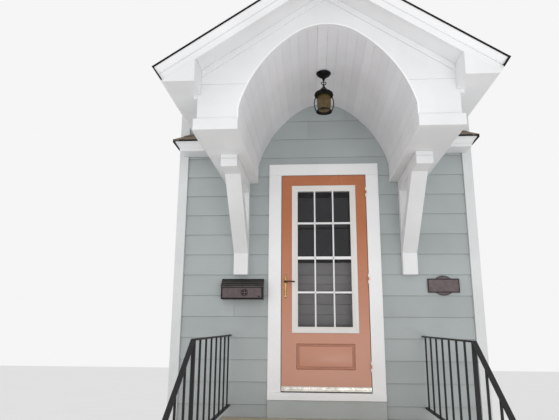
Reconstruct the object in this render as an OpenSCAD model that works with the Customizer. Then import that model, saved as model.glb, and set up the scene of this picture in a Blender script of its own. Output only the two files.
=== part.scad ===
// Entrance porch: a barrel-vaulted gable hood on brackets, with its doorway, landing and wall bay.
// Front faces -Y, the wall's outer face is y = 0, the doorway's centre is x = 0, the ground is z = 0.

/* [Wall bay] */
// How far the wall bay reaches past the hood's eaves
bay_margin = 190.5; // [120:0.5:600]
// Height of the wall over the hood's ridge
wall_over_ridge = 298.5; // [100:0.5:900]
// Thickness of the wall
wall_t = 160; // [130:5:260]
// Height of the foundation above the ground
foundation_h = 450; // [200:10:540]
// How far the foundation stands out from the wall
foundation_proud = 20; // [5:1:40]
// Room for the siding between the wall and what is fixed over it
siding_t = 14; // [8:1:22]
// Thickness of the flat trim boards
trim_t = 28; // [20:1:40]
// Width of the corner boards
corner_board_w = 62; // [50:1:120]

/* [Doorway] */
// Clear width between the jambs
opening_w = 829; // [760:1:940]
// Clear height over the sill
opening_h = 2050; // [1980:5:2120]
// Height of the sill's top over the landing
sill_rise = 220; // [160:5:260]
// Width of the casing beside the doorway
casing_w = 122; // [80:1:150]
// Height of the casing over the doorway
casing_head_h = 115; // [80:1:150]
// Thickness of the jambs
jamb_t = 32; // [20:1:45]
// Width of the stop that the inner door shuts against
stop_w = 14; // [8:1:20]
// Height of the door sill
sill_h = 66; // [40:1:90]
// How far the door sill stands out past the casing
sill_proud = 12; // [5:1:40]

/* [Storm door] */
// Gap round the door leaves
door_gap = 5; // [5:0.5:8]
// Thickness of the storm door
storm_t = 35; // [28:1:42]
// How far the storm door's face lies behind the casing's face
storm_set_back = 6; // [4:1:10]
// Height of the metal sweep at the foot of the storm door
sweep_h = 48; // [30:1:70]
// Width of the lite frame, outside
lite_w = 622; // [520:1:660]
// Height of the storm door's rail over the lite frame
lite_top_rail = 103; // [80:1:160]
// Height of the lite frame's foot over the sill
lite_z = 524; // [480:2:580]
// Visible width of the lite frame's members
lite_member = 56; // [35:1:70]
// Thickness of the glass
glass_t = 6; // [4:0.5:8]
// Width of the raised panel
panel_w = 538; // [400:1:600]
// Height of the raised panel
panel_h = 230; // [150:1:260]
// Height of the raised panel's foot over the sill
panel_z = 199; // [160:1:210]
// Width of the grooves round the doors' raised panels
groove_w = 22; // [12:1:30]

/* [Door furniture] */
// Distance of the lever's spindle from the edge of the storm door
backset = 38; // [32:1:60]
// Height of the lever over the sill
lever_z = 997; // [950:1:1040]
// Length of the lever from its spindle
lever_l = 96; // [70:1:130]
// Height of the handle plate
plate_h = 216; // [160:1:260]
// Width of the handle plate
plate_w = 24; // [20:1:34]
// Radius of the hinge knuckles
knuckle_r = 6; // [5:0.5:8]
// Height of each hinge
hinge_h = 90; // [60:2:120]
// Height of the lowest hinges over the sill
low_hinge_z = 230; // [150:5:300]
// Distance of the highest hinges from the doorway's head
high_hinge_drop = 180; // [120:5:260]
// Width of the hinges' plates
hinge_plate_w = 26; // [18:1:34]

/* [Inner door] */
// Thickness of the inner door
inner_t = 44; // [35:1:50]
// Width of the inner door's stiles and of its top rail
stile_w = 120; // [90:1:140]
// Height of the inner door's bottom rail
bottom_rail_h = 200; // [150:5:260]
// Height of the inner door's middle rail
mid_rail_h = 100; // [70:5:200]
// Height of the middle rail's foot over the sill
mid_rail_z = 1140; // [1000:5:1300]
// How far the pane over the rail and the boards under it lie behind the inner door's faces
field_recess = 12; // [6:1:16]
// Height of the inner door's knob over the sill
knob_z = 905; // [860:5:1040]

/* [Landing and steps] */
// Height of each step
riser_h = 175; // [150:1:190]
// Depth of each tread
tread_d = 254; // [230:1:300]
// Depth of the landing from the wall
landing_d = 1540; // [1500:5:1900]
// Width of the landing and the steps
landing_w = 1910; // [1860:5:2300]
// Thickness of the landing's slab
slab_t = 110; // [80:1:140]
// Thickness of each tread
tread_t = 50; // [35:1:70]
// How far the slab and the treads stand out over what carries them
nosing = 22; // [10:1:35]

/* [Railings] */
// Distance between the centre planes of the two railings
rail_span = 1786; // [1700:2:1800]
// Height of the top rail's upper face over the landing
rail_h = 725; // [680:5:950]
// Height of the lower rail's centre over the landing
low_rail_h = 100; // [70:1:140]
// Distance of the corner posts from the landing's front edge
corner_post_inset = 50; // [25:5:120]
// Distance between balusters
baluster_pitch = 200; // [110:5:220]
// Side of a square baluster
baluster_s = 13; // [10:1:18]
// Side of a square post
post_s = 24; // [20:1:40]
// Width of the rails
rail_w = 30; // [26:1:40]
// Thickness of the rails
rail_t = 12; // [8:1:16]

/* [Hood] */
// Half of the barrel vault's clear width
vault_half = 646.5; // [600:0.5:680]
// Height of the vault's crown over its springing line
crown_rise = 657; // [620:1:700]
// Radius of the arc at the vault's crown
crown_r = 415; // [380:5:480]
// Thickness of the vault's planks
vault_t = 18; // [12:1:25]
// Width of each boxed beam
beam_w = 309; // [260:1:340]
// Height of each boxed beam
beam_h = 180; // [150:1:220]
// Height of the beams' underside over the sill
hood_clear = 1975; // [1940:1:2060]
// Depth of the hood from the wall to the gable panel's face
hood_d = 1432; // [1200:2:1500]
// Thickness of the gable panel
gable_t = 25; // [18:1:35]
// Height of the cap boards at the foot of the gable panel
cap_h = 86; // [60:1:110]
// How far the cap boards stand out
cap_proud = 22; // [12:1:30]
// Height of the ridge over the vault's crown
ridge_rise = 389.5; // [380:0.5:460]
// Pitch of the hood's roof in degrees
roof_pitch = 33.9; // [32:0.1:35]
// Thickness of the hood's roof
roof_t = 18; // [12:1:30]
// How far the eaves reach past the beams
eave_overhang = 280; // [240:1:300]
// How far the roof's front edge reaches past the gable panel
rake_overhang = 224; // [180:1:280]
// Upright height of the rake boards
rake_h = 126; // [110:1:140]
// Upright distance from the rake soffit down to the rake boards' lower edge
rake_lip = 17; // [8:1:30]
// Upright height of the frieze bands
frieze_h = 50; // [35:1:80]
// Thickness of the frieze bands and of the soffit boards
band_t = 16; // [10:1:22]
// Height of the cheeks between the beams and the eave boxes
cheek_h = 102; // [90:1:120]
// Thickness of the boards of the eave boxes and cheeks
board_t = 20; // [15:1:25]
// Side of the moulding under the eave boxes
bed_mould = 30; // [20:1:40]

/* [Brackets] */
// Width of the bracket timbers
bracket_w = 136; // [100:1:160]
// Distance from the beams' inner side to the bracket timbers
bracket_inset = 82; // [60:1:90]
// Height of the bracket arms
arm_h = 106; // [90:1:140]
// Length of the bracket arms
arm_l = 912; // [850:2:1100]
// Depth of the wall posts
wall_post_t = 85; // [60:1:110]
// Length of the wall posts under the arms
wall_post_l = 809; // [760:1:900]
// Distance from the wall to the braces' toe under the arm
brace_reach = 705; // [600:1:800]
// Distance from the arms' underside down to the braces' heel
brace_drop = 607; // [500:1:640]
// Thickness of the braces
brace_t = 110; // [70:1:130]

/* [Pent roofs] */
// Height of the pent roofs' soffit over the sill
pent_z = 2263; // [2230:1:2300]
// Depth of the pent roofs' soffit
pent_soffit_d = 200; // [150:1:240]
// Height of the pent roofs' fascia
pent_fascia_h = 30; // [20:1:50]
// Outward reach of the crown under the pent roofs' edge
pent_crown_out = 50; // [30:1:70]
// Height of that crown
pent_crown_h = 59; // [40:1:80]
// Rise of the pent roofs for each unit of run
pent_slope = 0.76; // [0.6:0.01:0.9]
// How far the pent roofs reach past the bay
pent_end = 35; // [20:1:60]
// Upright thickness of the pent roofs
pent_t = 16; // [12:1:30]

/* [Lantern] */
// Distance of the lantern from the wall
lantern_y = 680; // [500:5:900]
// Radius of the canopy
canopy_r = 66; // [50:1:80]
// Height of the canopy
canopy_h = 44; // [30:1:60]
// Length of the stem under the canopy
stem_l = 26; // [20:1:50]
// Thickness of the ring wires
ring_wire = 6; // [4:0.5:8]
// Inside radius of the eyes and of the link's ends
eye_r = 9; // [8:0.5:12]
// Length of the link's straight part
link_straight = 16; // [10:1:30]
// Radius of the lantern's brim
brim_r = 82; // [70:1:100]
// Height of the lantern's cap
lantern_cap_h = 97; // [70:1:120]
// Radius of the lantern's glass
lantern_glass_r = 56; // [45:1:62]
// Height of the lantern's glass
lantern_glass_h = 137; // [110:1:200]
// Wall of the lantern's glass
lantern_glass_t = 3; // [2:0.5:4]
// Height of the lantern's base
lantern_base_h = 34; // [24:1:50]

/* [Mailbox and plaque] */
// Width of the mailbox
mailbox_w = 396; // [300:2:420]
// Height of the mailbox at its back
mailbox_h = 190; // [160:1:240]
// Depth of the mailbox
mailbox_d = 105; // [80:1:140]
// Height of the mailbox's foot over the sill
mailbox_z = 830; // [760:5:900]
// Distance of the mailbox's centre from the doorway's centre
mailbox_x = 777; // [750:1:860]
// Sheet thickness of the mailbox
sheet_t = 2; // [1.5:0.5:4]
// Fall of the mailbox's lid from back to front
lid_fall = 74; // [50:1:90]
// Gap between the mailbox and its lid
lid_gap = 2; // [1.5:0.5:3]
// How far the lid laps down over the mailbox
lid_lap = 12; // [8:1:20]
// Width of the house plaque
plaque_w = 290; // [220:2:340]
// Width of the low crests above and below the house plaque
crest_w = 142; // [60:2:200]
// How far the crests rise from the house plaque
crest_out = 27; // [8:1:34]
// How far the house plaque stands out from the siding
plaque_proud = 10; // [5:1:20]
// Height of the house plaque without its crests
plaque_h = 128; // [100:1:150]
// Distance of the plaque from the corner board
plaque_gap = 116; // [60:1:160]
// Height of the plaque's centre over the sill
plaque_z = 962; // [900:1:1040]

/* [Hidden] */
$fn = 48;
small = 0.5;
step_count = 3;
landing_h = riser_h * (step_count + 1);
sill_z = landing_h + sill_rise;
opening_x = opening_w / 2;
head_z = sill_z + opening_h;
rough_x = opening_x + jamb_t;
rough_z = head_z + jamb_t;
casing_x = opening_x + casing_w;
casing_top = head_z + casing_head_h;

// Hood heights and reaches
beam_z = sill_z + hood_clear;
spring_z = beam_z + beam_h;
crown_z = spring_z + crown_rise;
ridge_z = crown_z + ridge_rise;
beam_x = vault_half + beam_w;
eave_x = beam_x + eave_overhang;
bay_x = eave_x + bay_margin;
bay_h = ridge_z + wall_over_ridge;
beyond = 2 * eave_x;
rise = tan(roof_pitch);
roof_drop = roof_t / cos(roof_pitch);
rake_face = hood_d + rake_overhang;
roof_lip = 8;
eave_z = ridge_z - eave_x * rise;
eave_box_z = spring_z + cheek_h;
soffit_drop = roof_drop + rake_h - rake_lip;
eave_box_x = eave_x - (eave_z - eave_box_z) * rise;
return_lap = 25;
return_x = beam_x - return_lap;

// Storm door
storm_x = opening_x - door_gap;
storm_face = -(trim_t - storm_set_back);
storm_back = storm_face + storm_t;
sweep_z = sill_z + door_gap;
leaf_z = sweep_z + sweep_h;
leaf_top = head_z - door_gap;
lite_h = leaf_top - lite_top_rail - sill_z - lite_z;
lite_flange = 8;
lite_lap = 20;
rebate = 9;
spindle_x = -(storm_x - backset);
spindle_z = sill_z + lever_z;
spindle_r = 6;
plate_t = 4;

// Hinges
hinge_x = storm_x + door_gap / 2;
storm_hinge_y = -(trim_t + knuckle_r + 1);
hinge_pin_r = 2.5;
hinge_play = 0.5;
hinge_plate_t = 2;
inner_face = wall_t - inner_t - 2;
inner_hinge_y = wall_t + knuckle_r + 1;

// Mailbox
mailbox_foot = sill_z + mailbox_z;
mailbox_front_h = mailbox_h - lid_fall;
lid_hinge_r = 4;
lid_pin_r = 2;
lid_ear_r = lid_pin_r + 1;
lid_hinge_y = -(siding_t + 3 * lid_hinge_r);
lid_front = -mailbox_d - lid_gap;
lid_back = lid_hinge_y + 2;
lid_slope = (lid_fall - lid_gap) / (lid_back - lid_front);
lid_hinge_z = mailbox_h - 2 * lid_slope - (lid_hinge_r - small) * sqrt(1 + lid_slope * lid_slope);

// A block from its lowest corner to its highest corner
module block(low, high) {
    translate(low) cube(high - low);
}

// The children on the right and their mirror image on the left
module both_sides() {
    children();
    mirror([1, 0, 0]) children();
}

// An outline drawn in X and Z, carried along Y from the front to the back
module along_y(front, back) {
    translate([0, back, 0]) rotate([90, 0, 0]) linear_extrude(back - front) children();
}

// An outline drawn in Y and Z, carried along X from the left to the right
module along_x(left, right) {
    translate([left, 0, 0]) rotate([90, 0, 90]) linear_extrude(right - left) children();
}

// Height of the hood roof's upper face at a distance from the ridge
function roof_at(x) = ridge_z - x * rise;

// A band that follows the right slope, between two upright distances under the roof's upper face
module slope_band(upper, lower, outer) {
    inner = small / 2;
    polygon([
        [inner, roof_at(inner) - upper], [outer, roof_at(outer) - upper],
        [outer, roof_at(outer) - lower], [inner, roof_at(inner) - lower]
    ]);
}

// Everything on the inner side of the eave's square-cut edge
module inside_eave_cut() {
    polygon([
        [0, ridge_z + beyond], [eave_x + beyond * rise, eave_z + beyond],
        [eave_x - beyond * rise, eave_z - beyond], [0, eave_z - beyond]
    ]);
}

module foundation() {
    color("gray") block([-bay_x, -foundation_proud, 0], [bay_x, wall_t, foundation_h]);
}

// The wall beside the doorway
module wall_sides() {
    color("lightslategray") both_sides() block([rough_x, 0, foundation_h], [bay_x, wall_t, bay_h]);
}

// The wall over and under the doorway
module wall_centre() {
    color("lightslategray") {
        block([-rough_x, 0, rough_z], [rough_x, wall_t, bay_h]);
        block([-rough_x, 0, foundation_h], [rough_x, wall_t, sill_z - sill_h]);
    }
}

// Each corner board turns the wall's corner: a face board and an edge board, scribed round the pent roof
module corner_boards() {
    color("white") both_sides() difference() {
        union() {
            block([bay_x - corner_board_w, -trim_t, foundation_h], [bay_x + trim_t, 0, bay_h]);
            block([bay_x, 0, foundation_h], [bay_x + trim_t, corner_board_w, bay_h]);
        }
        pent_form(pent_t);
    }
}

// Casing: two side boards and the head board over them
module door_casing() {
    color("white") {
        both_sides() block([opening_x, -trim_t, sill_z], [casing_x, 0, head_z - small]);
        block([-casing_x, -trim_t, head_z], [casing_x, 0, casing_top]);
    }
}

// Jambs and head line the wall and carry the stop for the inner door
module door_frame() {
    stop_front = storm_back + door_gap;
    stop_back = inner_face - small;
    color("white") {
        both_sides() {
            block([opening_x, 0, sill_z], [rough_x, wall_t, head_z - small]);
            block([opening_x - stop_w, stop_front, sill_z],
                  [opening_x, stop_back, head_z - stop_w - small]);
        }
        block([-rough_x, 0, head_z], [rough_x, wall_t, rough_z]);
        block([-opening_x + small, stop_front, head_z - stop_w], [opening_x - small, stop_back, head_z]);
    }
}

module door_sill() {
    color("white") {
        block([-casing_x, -trim_t - sill_proud, sill_z - sill_h], [casing_x, 0, sill_z]);
        block([-rough_x, 0, sill_z - sill_h], [rough_x, wall_t, sill_z]);
    }
}

// The board between the sill and the landing
module riser_board() {
    color("gray") block([-casing_x, -trim_t, landing_h], [casing_x, 0, sill_z - sill_h]);
}

// What the hood takes up beside the wall, seen from the front
module hood_outline() {
    side_x = beam_x + max(cap_proud, bed_mould);
    polygon([
        [0, ridge_z], [eave_x, eave_z], [eave_box_x, eave_box_z],
        [side_x, eave_box_z], [side_x, beam_z], [0, beam_z]
    ]);
}

// The right pent roof's outer form, hipped at its end, with its upper face lifted
module pent_form(lift) {
    low = sill_z + pent_z;
    crown_low = low + pent_fascia_h;
    edge = crown_low + pent_crown_h;
    soffit_x = bay_x + pent_end - pent_crown_out;
    edge_x = bay_x + pent_end;
    edge_y = pent_soffit_d + pent_crown_out;
    peak = edge + edge_y * pent_slope + lift;
    difference() {
        intersection() {
            along_x(beam_x, edge_x)
                polygon([
                    [0, low], [-pent_soffit_d, low], [-pent_soffit_d, crown_low],
                    [-edge_y, edge], [-edge_y, edge + lift], [0, peak]
                ]);
            along_y(-edge_y, 0)
                polygon([
                    [beam_x, low], [soffit_x, low], [soffit_x, crown_low],
                    [edge_x, edge], [edge_x, edge + lift], [edge_x - edge_y, peak], [beam_x, peak]
                ]);
        }
        along_y(-rake_face, small) hood_outline();
    }
}

module pent_cornices() {
    color("whitesmoke") both_sides() pent_form(0);
}

module pent_roofs() {
    color("dimgray") both_sides() difference() {
        pent_form(pent_t);
        pent_form(0);
    }
}

// Boxed beams, each with the cheek board that rises from its outer side to the roof
module hood_beams() {
    front = -(hood_d - gable_t);
    color("white") both_sides() {
        block([vault_half, front, beam_z], [beam_x, 0, spring_z]);
        along_y(front, 0)
            polygon([
                [beam_x - board_t, spring_z], [beam_x, spring_z],
                [beam_x, roof_at(beam_x) - roof_drop],
                [beam_x - board_t, roof_at(beam_x - board_t) - roof_drop]
            ]);
    }
}

// The vault's arch has three arcs: one at the crown and one over each haunch, meeting at an angle
// from the upright
crown_angle = 34;
crown_centre = [0, spring_z + crown_rise - crown_r];
crown_out = [sin(crown_angle), cos(crown_angle)];
arcs_meet = crown_centre + crown_r * crown_out;
haunch_chord = [vault_half, spring_z] - arcs_meet;
haunch_r = -(haunch_chord * haunch_chord) / (2 * (crown_out * haunch_chord));
haunch_centre = arcs_meet - haunch_r * crown_out;

// What lies inside the arch over the springing line, grown by a distance
module arch_face(grow) {
    meet_z = (arcs_meet + grow * crown_out)[1];
    intersection() {
        translate([-beam_x, spring_z]) square([2 * beam_x, 2 * beam_x]);
        union() {
            translate(crown_centre) circle(r = crown_r + grow, $fn = 120);
            intersection() {
                translate(haunch_centre) circle(r = haunch_r + grow, $fn = 240);
                mirror([1, 0]) translate(haunch_centre) circle(r = haunch_r + grow, $fn = 240);
                translate([-beam_x, spring_z]) square([2 * beam_x, meet_z - spring_z]);
            }
        }
    }
}

// The gable's face, with the vault's arch cut through it
module gable_panel() {
    color("white") along_y(-hood_d, -(hood_d - gable_t)) difference() {
        polygon([
            [-beam_x, beam_z], [-beam_x, roof_at(beam_x) - roof_drop], [0, roof_at(0) - roof_drop],
            [beam_x, roof_at(beam_x) - roof_drop], [beam_x, beam_z]
        ]);
        arch_face(0);
        translate([-vault_half, beam_z - 1]) square([2 * vault_half, beam_h + 1]);
    }
}

// The barrel vault that springs from the beams
module vault() {
    color("gainsboro") along_y(-(hood_d - gable_t), 0) difference() {
        arch_face(vault_t);
        arch_face(0);
    }
}

// Cap boards wrap the foot of the gable panel and run back along the beams
module beam_caps() {
    color("white") both_sides() {
        block([vault_half, -hood_d - cap_proud, beam_z], [beam_x + cap_proud, -hood_d, beam_z + cap_h]);
        block([beam_x, -hood_d, beam_z], [beam_x + cap_proud, 0, beam_z + cap_h]);
    }
}

// Bands on the gable panel, right under the rake soffit
module frieze() {
    color("white") along_y(-hood_d - band_t, -hood_d) both_sides()
        slope_band(soffit_drop, soffit_drop + frieze_h, return_x);
}

// Boards that close the roof's overhang from below
module rake_soffit() {
    color("white") along_y(-rake_face + board_t, -hood_d) both_sides()
        slope_band(soffit_drop - band_t, soffit_drop, return_x);
}

module rake_boards() {
    color("white") both_sides() along_y(-rake_face, -rake_face + board_t) intersection() {
        slope_band(roof_drop, roof_drop + rake_h, eave_x);
        inside_eave_cut();
    }
}

// The eave boxes: fascia cut square to the roof, soffit, front return and bed moulding
module eave_boxes() {
    module under_roof(low_x, drop) {
        intersection() {
            polygon([
                [low_x, 0], [low_x, roof_at(low_x) - drop], [beyond, roof_at(beyond) - drop], [beyond, 0]
            ]);
            translate([0, eave_box_z]) square([beyond, beyond]);
            inside_eave_cut();
        }
    }
    color("white") both_sides() {
        along_y(-rake_face + board_t, 0) difference() {
            under_roof(beam_x, roof_drop);
            translate([-board_t / cos(roof_pitch), board_t]) under_roof(beam_x - 1, roof_drop);
        }
        along_y(-rake_face, -rake_face + board_t) under_roof(return_x, roof_drop + rake_h);
        along_y(-rake_face + board_t, -hood_d) difference() {
            under_roof(return_x, roof_drop);
            translate([board_t, board_t]) under_roof(return_x, 0);
        }
        block([beam_x, -hood_d, eave_box_z - bed_mould], [beam_x + bed_mould, 0, eave_box_z]);
    }
}

module hood_roof() {
    color("black") both_sides() along_y(-rake_face - roof_lip, 0) intersection() {
        slope_band(0, roof_drop, eave_x + roof_t);
        inside_eave_cut();
    }
}

// Brackets: an arm under each beam, a post on the wall and a brace between them
arm_x = vault_half + bracket_inset;
arm_z = beam_z - arm_h;

module bracket_arms() {
    color("white") both_sides() block([arm_x, -arm_l, arm_z], [arm_x + bracket_w, 0, beam_z]);
}

module bracket_posts() {
    color("white") both_sides()
        block([arm_x, -wall_post_t, arm_z - wall_post_l], [arm_x + bracket_w, 0, arm_z]);
}

module bracket_braces() {
    run = brace_reach - wall_post_t;
    lean = atan2(brace_drop, run);
    color("white") both_sides() along_x(arm_x, arm_x + bracket_w)
        polygon([
            [-brace_reach, arm_z], [-wall_post_t, arm_z - brace_drop],
            [-wall_post_t, arm_z - brace_drop + brace_t / cos(lean)],
            [-brace_reach + brace_t / sin(lean), arm_z]
        ]);
}

module landing_slab() {
    color("tan") block([-landing_w / 2, -landing_d, landing_h - slab_t], [landing_w / 2, 0, landing_h]);
}

module landing_base() {
    inset = landing_w / 2 - nosing;
    color("tan") block([-inset, -landing_d + nosing, 0], [inset, -foundation_proud, landing_h - slab_t]);
}

// A step: a tread with its nosing on the block under it, back to the landing's base
module step(number) {
    top = riser_h * number;
    front = -(landing_d + (step_count + 1 - number) * tread_d);
    back = -landing_d + nosing;
    color("tan") {
        block([-landing_w / 2, front, top - tread_t], [landing_w / 2, back, top]);
        block([-landing_w / 2 + nosing, front + nosing, top - riser_h],
              [landing_w / 2 - nosing, back, top - tread_t]);
    }
}

module step_top() {
    step(step_count);
}

module step_middle() {
    step(2);
}

module step_bottom() {
    step(1);
}

// Railings
rail_x = rail_span / 2;
rail_top = landing_h + rail_h;
stair_rise = riser_h / tread_d;
corner_post_y = landing_d - corner_post_inset;
newel_y = landing_d + (step_count - 0.5) * tread_d;

// A square bar that stands upright
module upright(y, side, low, high) {
    block([rail_x - side / 2, -y - side / 2, low], [rail_x + side / 2, -y + side / 2, high]);
}

module landing_railings() {
    low = landing_h + low_rail_h;
    post_back = corner_post_y - post_s / 2;
    color("black") both_sides() {
        for (foot = [rail_top - rail_t, low - rail_t / 2])
            block([rail_x - rail_w / 2, -post_back, foot], [rail_x + rail_w / 2, 0, foot + rail_t]);
        upright(corner_post_y, post_s, landing_h, rail_top);
        for (y = [corner_post_y - baluster_pitch : -baluster_pitch : baluster_s])
            upright(y, baluster_s, low, rail_top - rail_t / 2);
    }
}

// A bar that slopes with the stair, its upper face at a height over the landing at the corner post
module sloping_bar(height, thick) {
    start = corner_post_y + post_s / 2;
    end = newel_y - post_s / 2;
    fall = (end - start) * stair_rise;
    along_x(rail_x - rail_w / 2, rail_x + rail_w / 2)
        polygon([
            [-start, height], [-end, height - fall],
            [-end, height - fall - thick], [-start, height - thick]
        ]);
}

module stair_railings() {
    thick = rail_t * sqrt(1 + stair_rise * stair_rise);
    start = corner_post_y + post_s / 2;
    low = landing_h + low_rail_h + rail_t / 2;
    color("black") both_sides() {
        sloping_bar(rail_top, thick);
        sloping_bar(low, thick);
        upright(newel_y, post_s, riser_h, rail_top - (newel_y - start) * stair_rise + rail_t);
        for (y = [corner_post_y + baluster_pitch : baluster_pitch : newel_y - baluster_pitch / 2])
            upright(y, baluster_s, low - (y - start) * stair_rise - thick / 2,
                    rail_top - (y - start) * stair_rise - thick / 2);
    }
}

// Hinges: each has a middle knuckle on the door and outer knuckles, pin and plate on the frame
hinge_zs = [sill_z + low_hinge_z, sill_z + opening_h / 2, head_z - high_hinge_drop];

module knuckle(y, low, high) {
    translate([hinge_x, y, low]) cylinder(h = high - low, r = knuckle_r);
}

// A plate flat on the face that carries it, with a web out to its knuckle
module door_knuckle(y, z, face) {
    third = hinge_h / 3;
    low = z - third / 2 + hinge_play;
    high = z + third / 2 - hinge_play;
    plate = face + sign(y - face) * hinge_plate_t;
    web_x = hinge_x - knuckle_r + hinge_play;
    difference() {
        union() {
            knuckle(y, low, high);
            block([hinge_x - hinge_plate_w, min(face, plate), low],
                  [web_x + hinge_plate_t, max(face, plate), high]);
            block([web_x, min(y, face), low], [web_x + hinge_plate_t, max(y, face), high]);
        }
        translate([hinge_x, y, low - 1]) cylinder(h = high - low + 2, r = hinge_pin_r + hinge_play);
    }
}

module frame_knuckles(y, z, face) {
    third = hinge_h / 3;
    plate = face + sign(y - face) * hinge_plate_t;
    for (side = [-1, 1]) {
        low = z + (side < 0 ? -1.5 : 0.5) * third;
        knuckle(y, low, low + third);
        block([hinge_x, min(face, plate), low], [hinge_x + hinge_plate_w, max(face, plate), low + third]);
    }
    translate([hinge_x, y, z - third]) cylinder(h = 2 * third, r = hinge_pin_r);
}

module door_hinges() {
    color("silver") for (z = hinge_zs) {
        frame_knuckles(storm_hinge_y, z, -trim_t);
        frame_knuckles(inner_hinge_y, z, wall_t);
    }
}

// A field stood up between cut grooves on one face of a door
module field_groove(width, height, low, face, depth) {
    through = 2 * abs(depth);
    difference() {
        block([-width / 2, min(face, face + depth), low],
              [width / 2, max(face, face + depth), low + height]);
        block([-width / 2 + groove_w, face - through, low + groove_w],
              [width / 2 - groove_w, face + through, low + height - groove_w]);
    }
}

module storm_door() {
    hole_x = lite_w / 2 - lite_lap;
    hole_low = sill_z + lite_z + lite_lap;
    groove_d = 7;
    color("peru") {
        difference() {
            block([-storm_x, storm_face, leaf_z], [storm_x, storm_back, leaf_top]);
            block([-hole_x, storm_face - 1, hole_low],
                  [hole_x, storm_back + 1, hole_low + lite_h - 2 * lite_lap]);
            field_groove(panel_w, panel_h, sill_z + panel_z, storm_face - 1, groove_d + 1);
            field_groove(panel_w, panel_h, sill_z + panel_z, storm_back + 1, -groove_d - 1);
            translate([spindle_x, storm_face - 1, spindle_z]) rotate([-90, 0, 0])
                cylinder(h = storm_t + 2, r = spindle_r + 2);
        }
        for (z = hinge_zs) door_knuckle(storm_hinge_y, z, storm_face);
    }
}

module storm_sweep() {
    color("silver") block([-storm_x, storm_face - 4, sweep_z], [storm_x, storm_back, leaf_z]);
}

module storm_lite_frame() {
    hole_x = lite_w / 2 - lite_lap;
    low = sill_z + lite_z;
    high = low + lite_h;
    glass_x = lite_w / 2 - lite_member;
    mid = (storm_face + storm_back) / 2;
    color("white") difference() {
        union() {
            block([-lite_w / 2, storm_face - lite_flange, low], [lite_w / 2, storm_face, high]);
            block([-hole_x, storm_face, low + lite_lap], [hole_x, storm_back, high - lite_lap]);
            block([-lite_w / 2, storm_back, low], [lite_w / 2, storm_back + lite_flange / 2, high]);
        }
        block([-glass_x, storm_face - lite_flange - 1, low + lite_member],
              [glass_x, storm_back + lite_flange, high - lite_member]);
        block([-glass_x - rebate, mid - glass_t / 2, low + lite_member - rebate],
              [glass_x + rebate, mid + glass_t / 2, high - lite_member + rebate]);
    }
}

module storm_glass() {
    low = sill_z + lite_z + lite_member - rebate;
    high = sill_z + lite_z + lite_h - lite_member + rebate;
    glass_x = lite_w / 2 - lite_member + rebate;
    mid = (storm_face + storm_back) / 2;
    color("lightblue", 0.4) block([-glass_x, mid - glass_t / 2, low], [glass_x, mid + glass_t / 2, high]);
}

// The long plate that the lever turns on, outside and inside
module handle_plate() {
    neck = plate_w / 3;
    body = plate_w * 0.46;
    body_top = -plate_h * 0.06;
    body_foot = -plate_h * 0.46;
    tip_top = plate_h * 0.3;
    tip_foot = -plate_h * 0.64;
    collar = plate_h * 0.11;
    bead = -plate_h * 0.52;
    module plate() {
        difference() {
            union() {
                circle(r = plate_w / 2);
                translate([-neck, tip_foot]) square([2 * neck, tip_top - tip_foot]);
                translate([-body, body_foot]) square([2 * body, body_top - body_foot]);
                translate([0, tip_top]) circle(r = neck);
                translate([0, collar]) circle(r = plate_w / 2);
                translate([0, bead]) circle(r = body);
                translate([0, tip_foot]) circle(r = neck * 1.1);
            }
            circle(r = spindle_r + 2);
        }
    }
    color("goldenrod") for (y = [storm_face, storm_back + plate_t])
        translate([spindle_x, y, spindle_z]) rotate([90, 0, 0]) linear_extrude(plate_t) plate();
}

// Spindle, hubs and the levers on both faces
module door_lever() {
    out = 42;
    hub_r = spindle_r + 4;
    root_r = 8;
    arm_r = 6;
    tip_t = 9;
    front = storm_face - plate_t - small;
    back = storm_back + plate_t + small;
    module arm(y) {
        hull() {
            translate([0, y - arm_r, 0]) rotate([-90, 0, 0])
                cylinder(h = 2 * arm_r, r = root_r, $fn = 24);
            translate([lever_l - arm_r, y - arm_r, 0]) rotate([-90, 0, 0])
                cylinder(h = tip_t, r = arm_r, $fn = 24);
        }
    }
    color("goldenrod") translate([spindle_x, 0, spindle_z]) {
        translate([0, front, 0]) rotate([-90, 0, 0]) cylinder(h = back - front, r = spindle_r);
        translate([0, front - out, 0]) rotate([-90, 0, 0]) cylinder(h = out, r = hub_r);
        translate([0, back, 0]) rotate([-90, 0, 0]) cylinder(h = out, r = hub_r);
        arm(front - out + arm_r);
        arm(back + out - arm_r);
    }
}

// The inner door: stiles and rails round a pane above and boards below, both set back from its faces
module inner_door() {
    x = opening_x - door_gap;
    low = sill_z + door_gap;
    back = inner_face + inner_t;
    field_x = x - stile_w;
    mid_rail = sill_z + mid_rail_z;
    color("gray") {
        difference() {
            block([-x, inner_face, low], [x, back, leaf_top]);
            for (y = [[inner_face - 1, inner_face + field_recess], [back - field_recess, back + 1]]) {
                block([-field_x, y[0], low + bottom_rail_h], [field_x, y[1], mid_rail]);
                block([-field_x, y[0], mid_rail + mid_rail_h], [field_x, y[1], leaf_top - stile_w]);
            }
        }
        for (z = hinge_zs) door_knuckle(inner_hinge_y, z, back);
    }
}

module inner_door_knob() {
    x = -(opening_x - door_gap - stile_w / 2);
    knob_r = 26;
    knob_l = 26;
    neck_r = knob_r / 2;
    neck_l = 24;
    rose_r = 30;
    rose_t = 6;
    color("goldenrod") for (side = [-1, 1])
        translate([x, side < 0 ? inner_face : inner_face + inner_t, sill_z + knob_z])
            rotate([side < 0 ? 90 : -90, 0, 0]) rotate_extrude()
                polygon([
                    [0, 0], [rose_r, 0], [rose_r * 0.93, rose_t], [neck_r, rose_t * 1.3],
                    [neck_r, neck_l], [knob_r, neck_l + knob_l * 0.3], [knob_r, neck_l + knob_l * 0.7],
                    [knob_r * 0.7, neck_l + knob_l], [0, neck_l + knob_l]
                ]);
}

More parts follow.
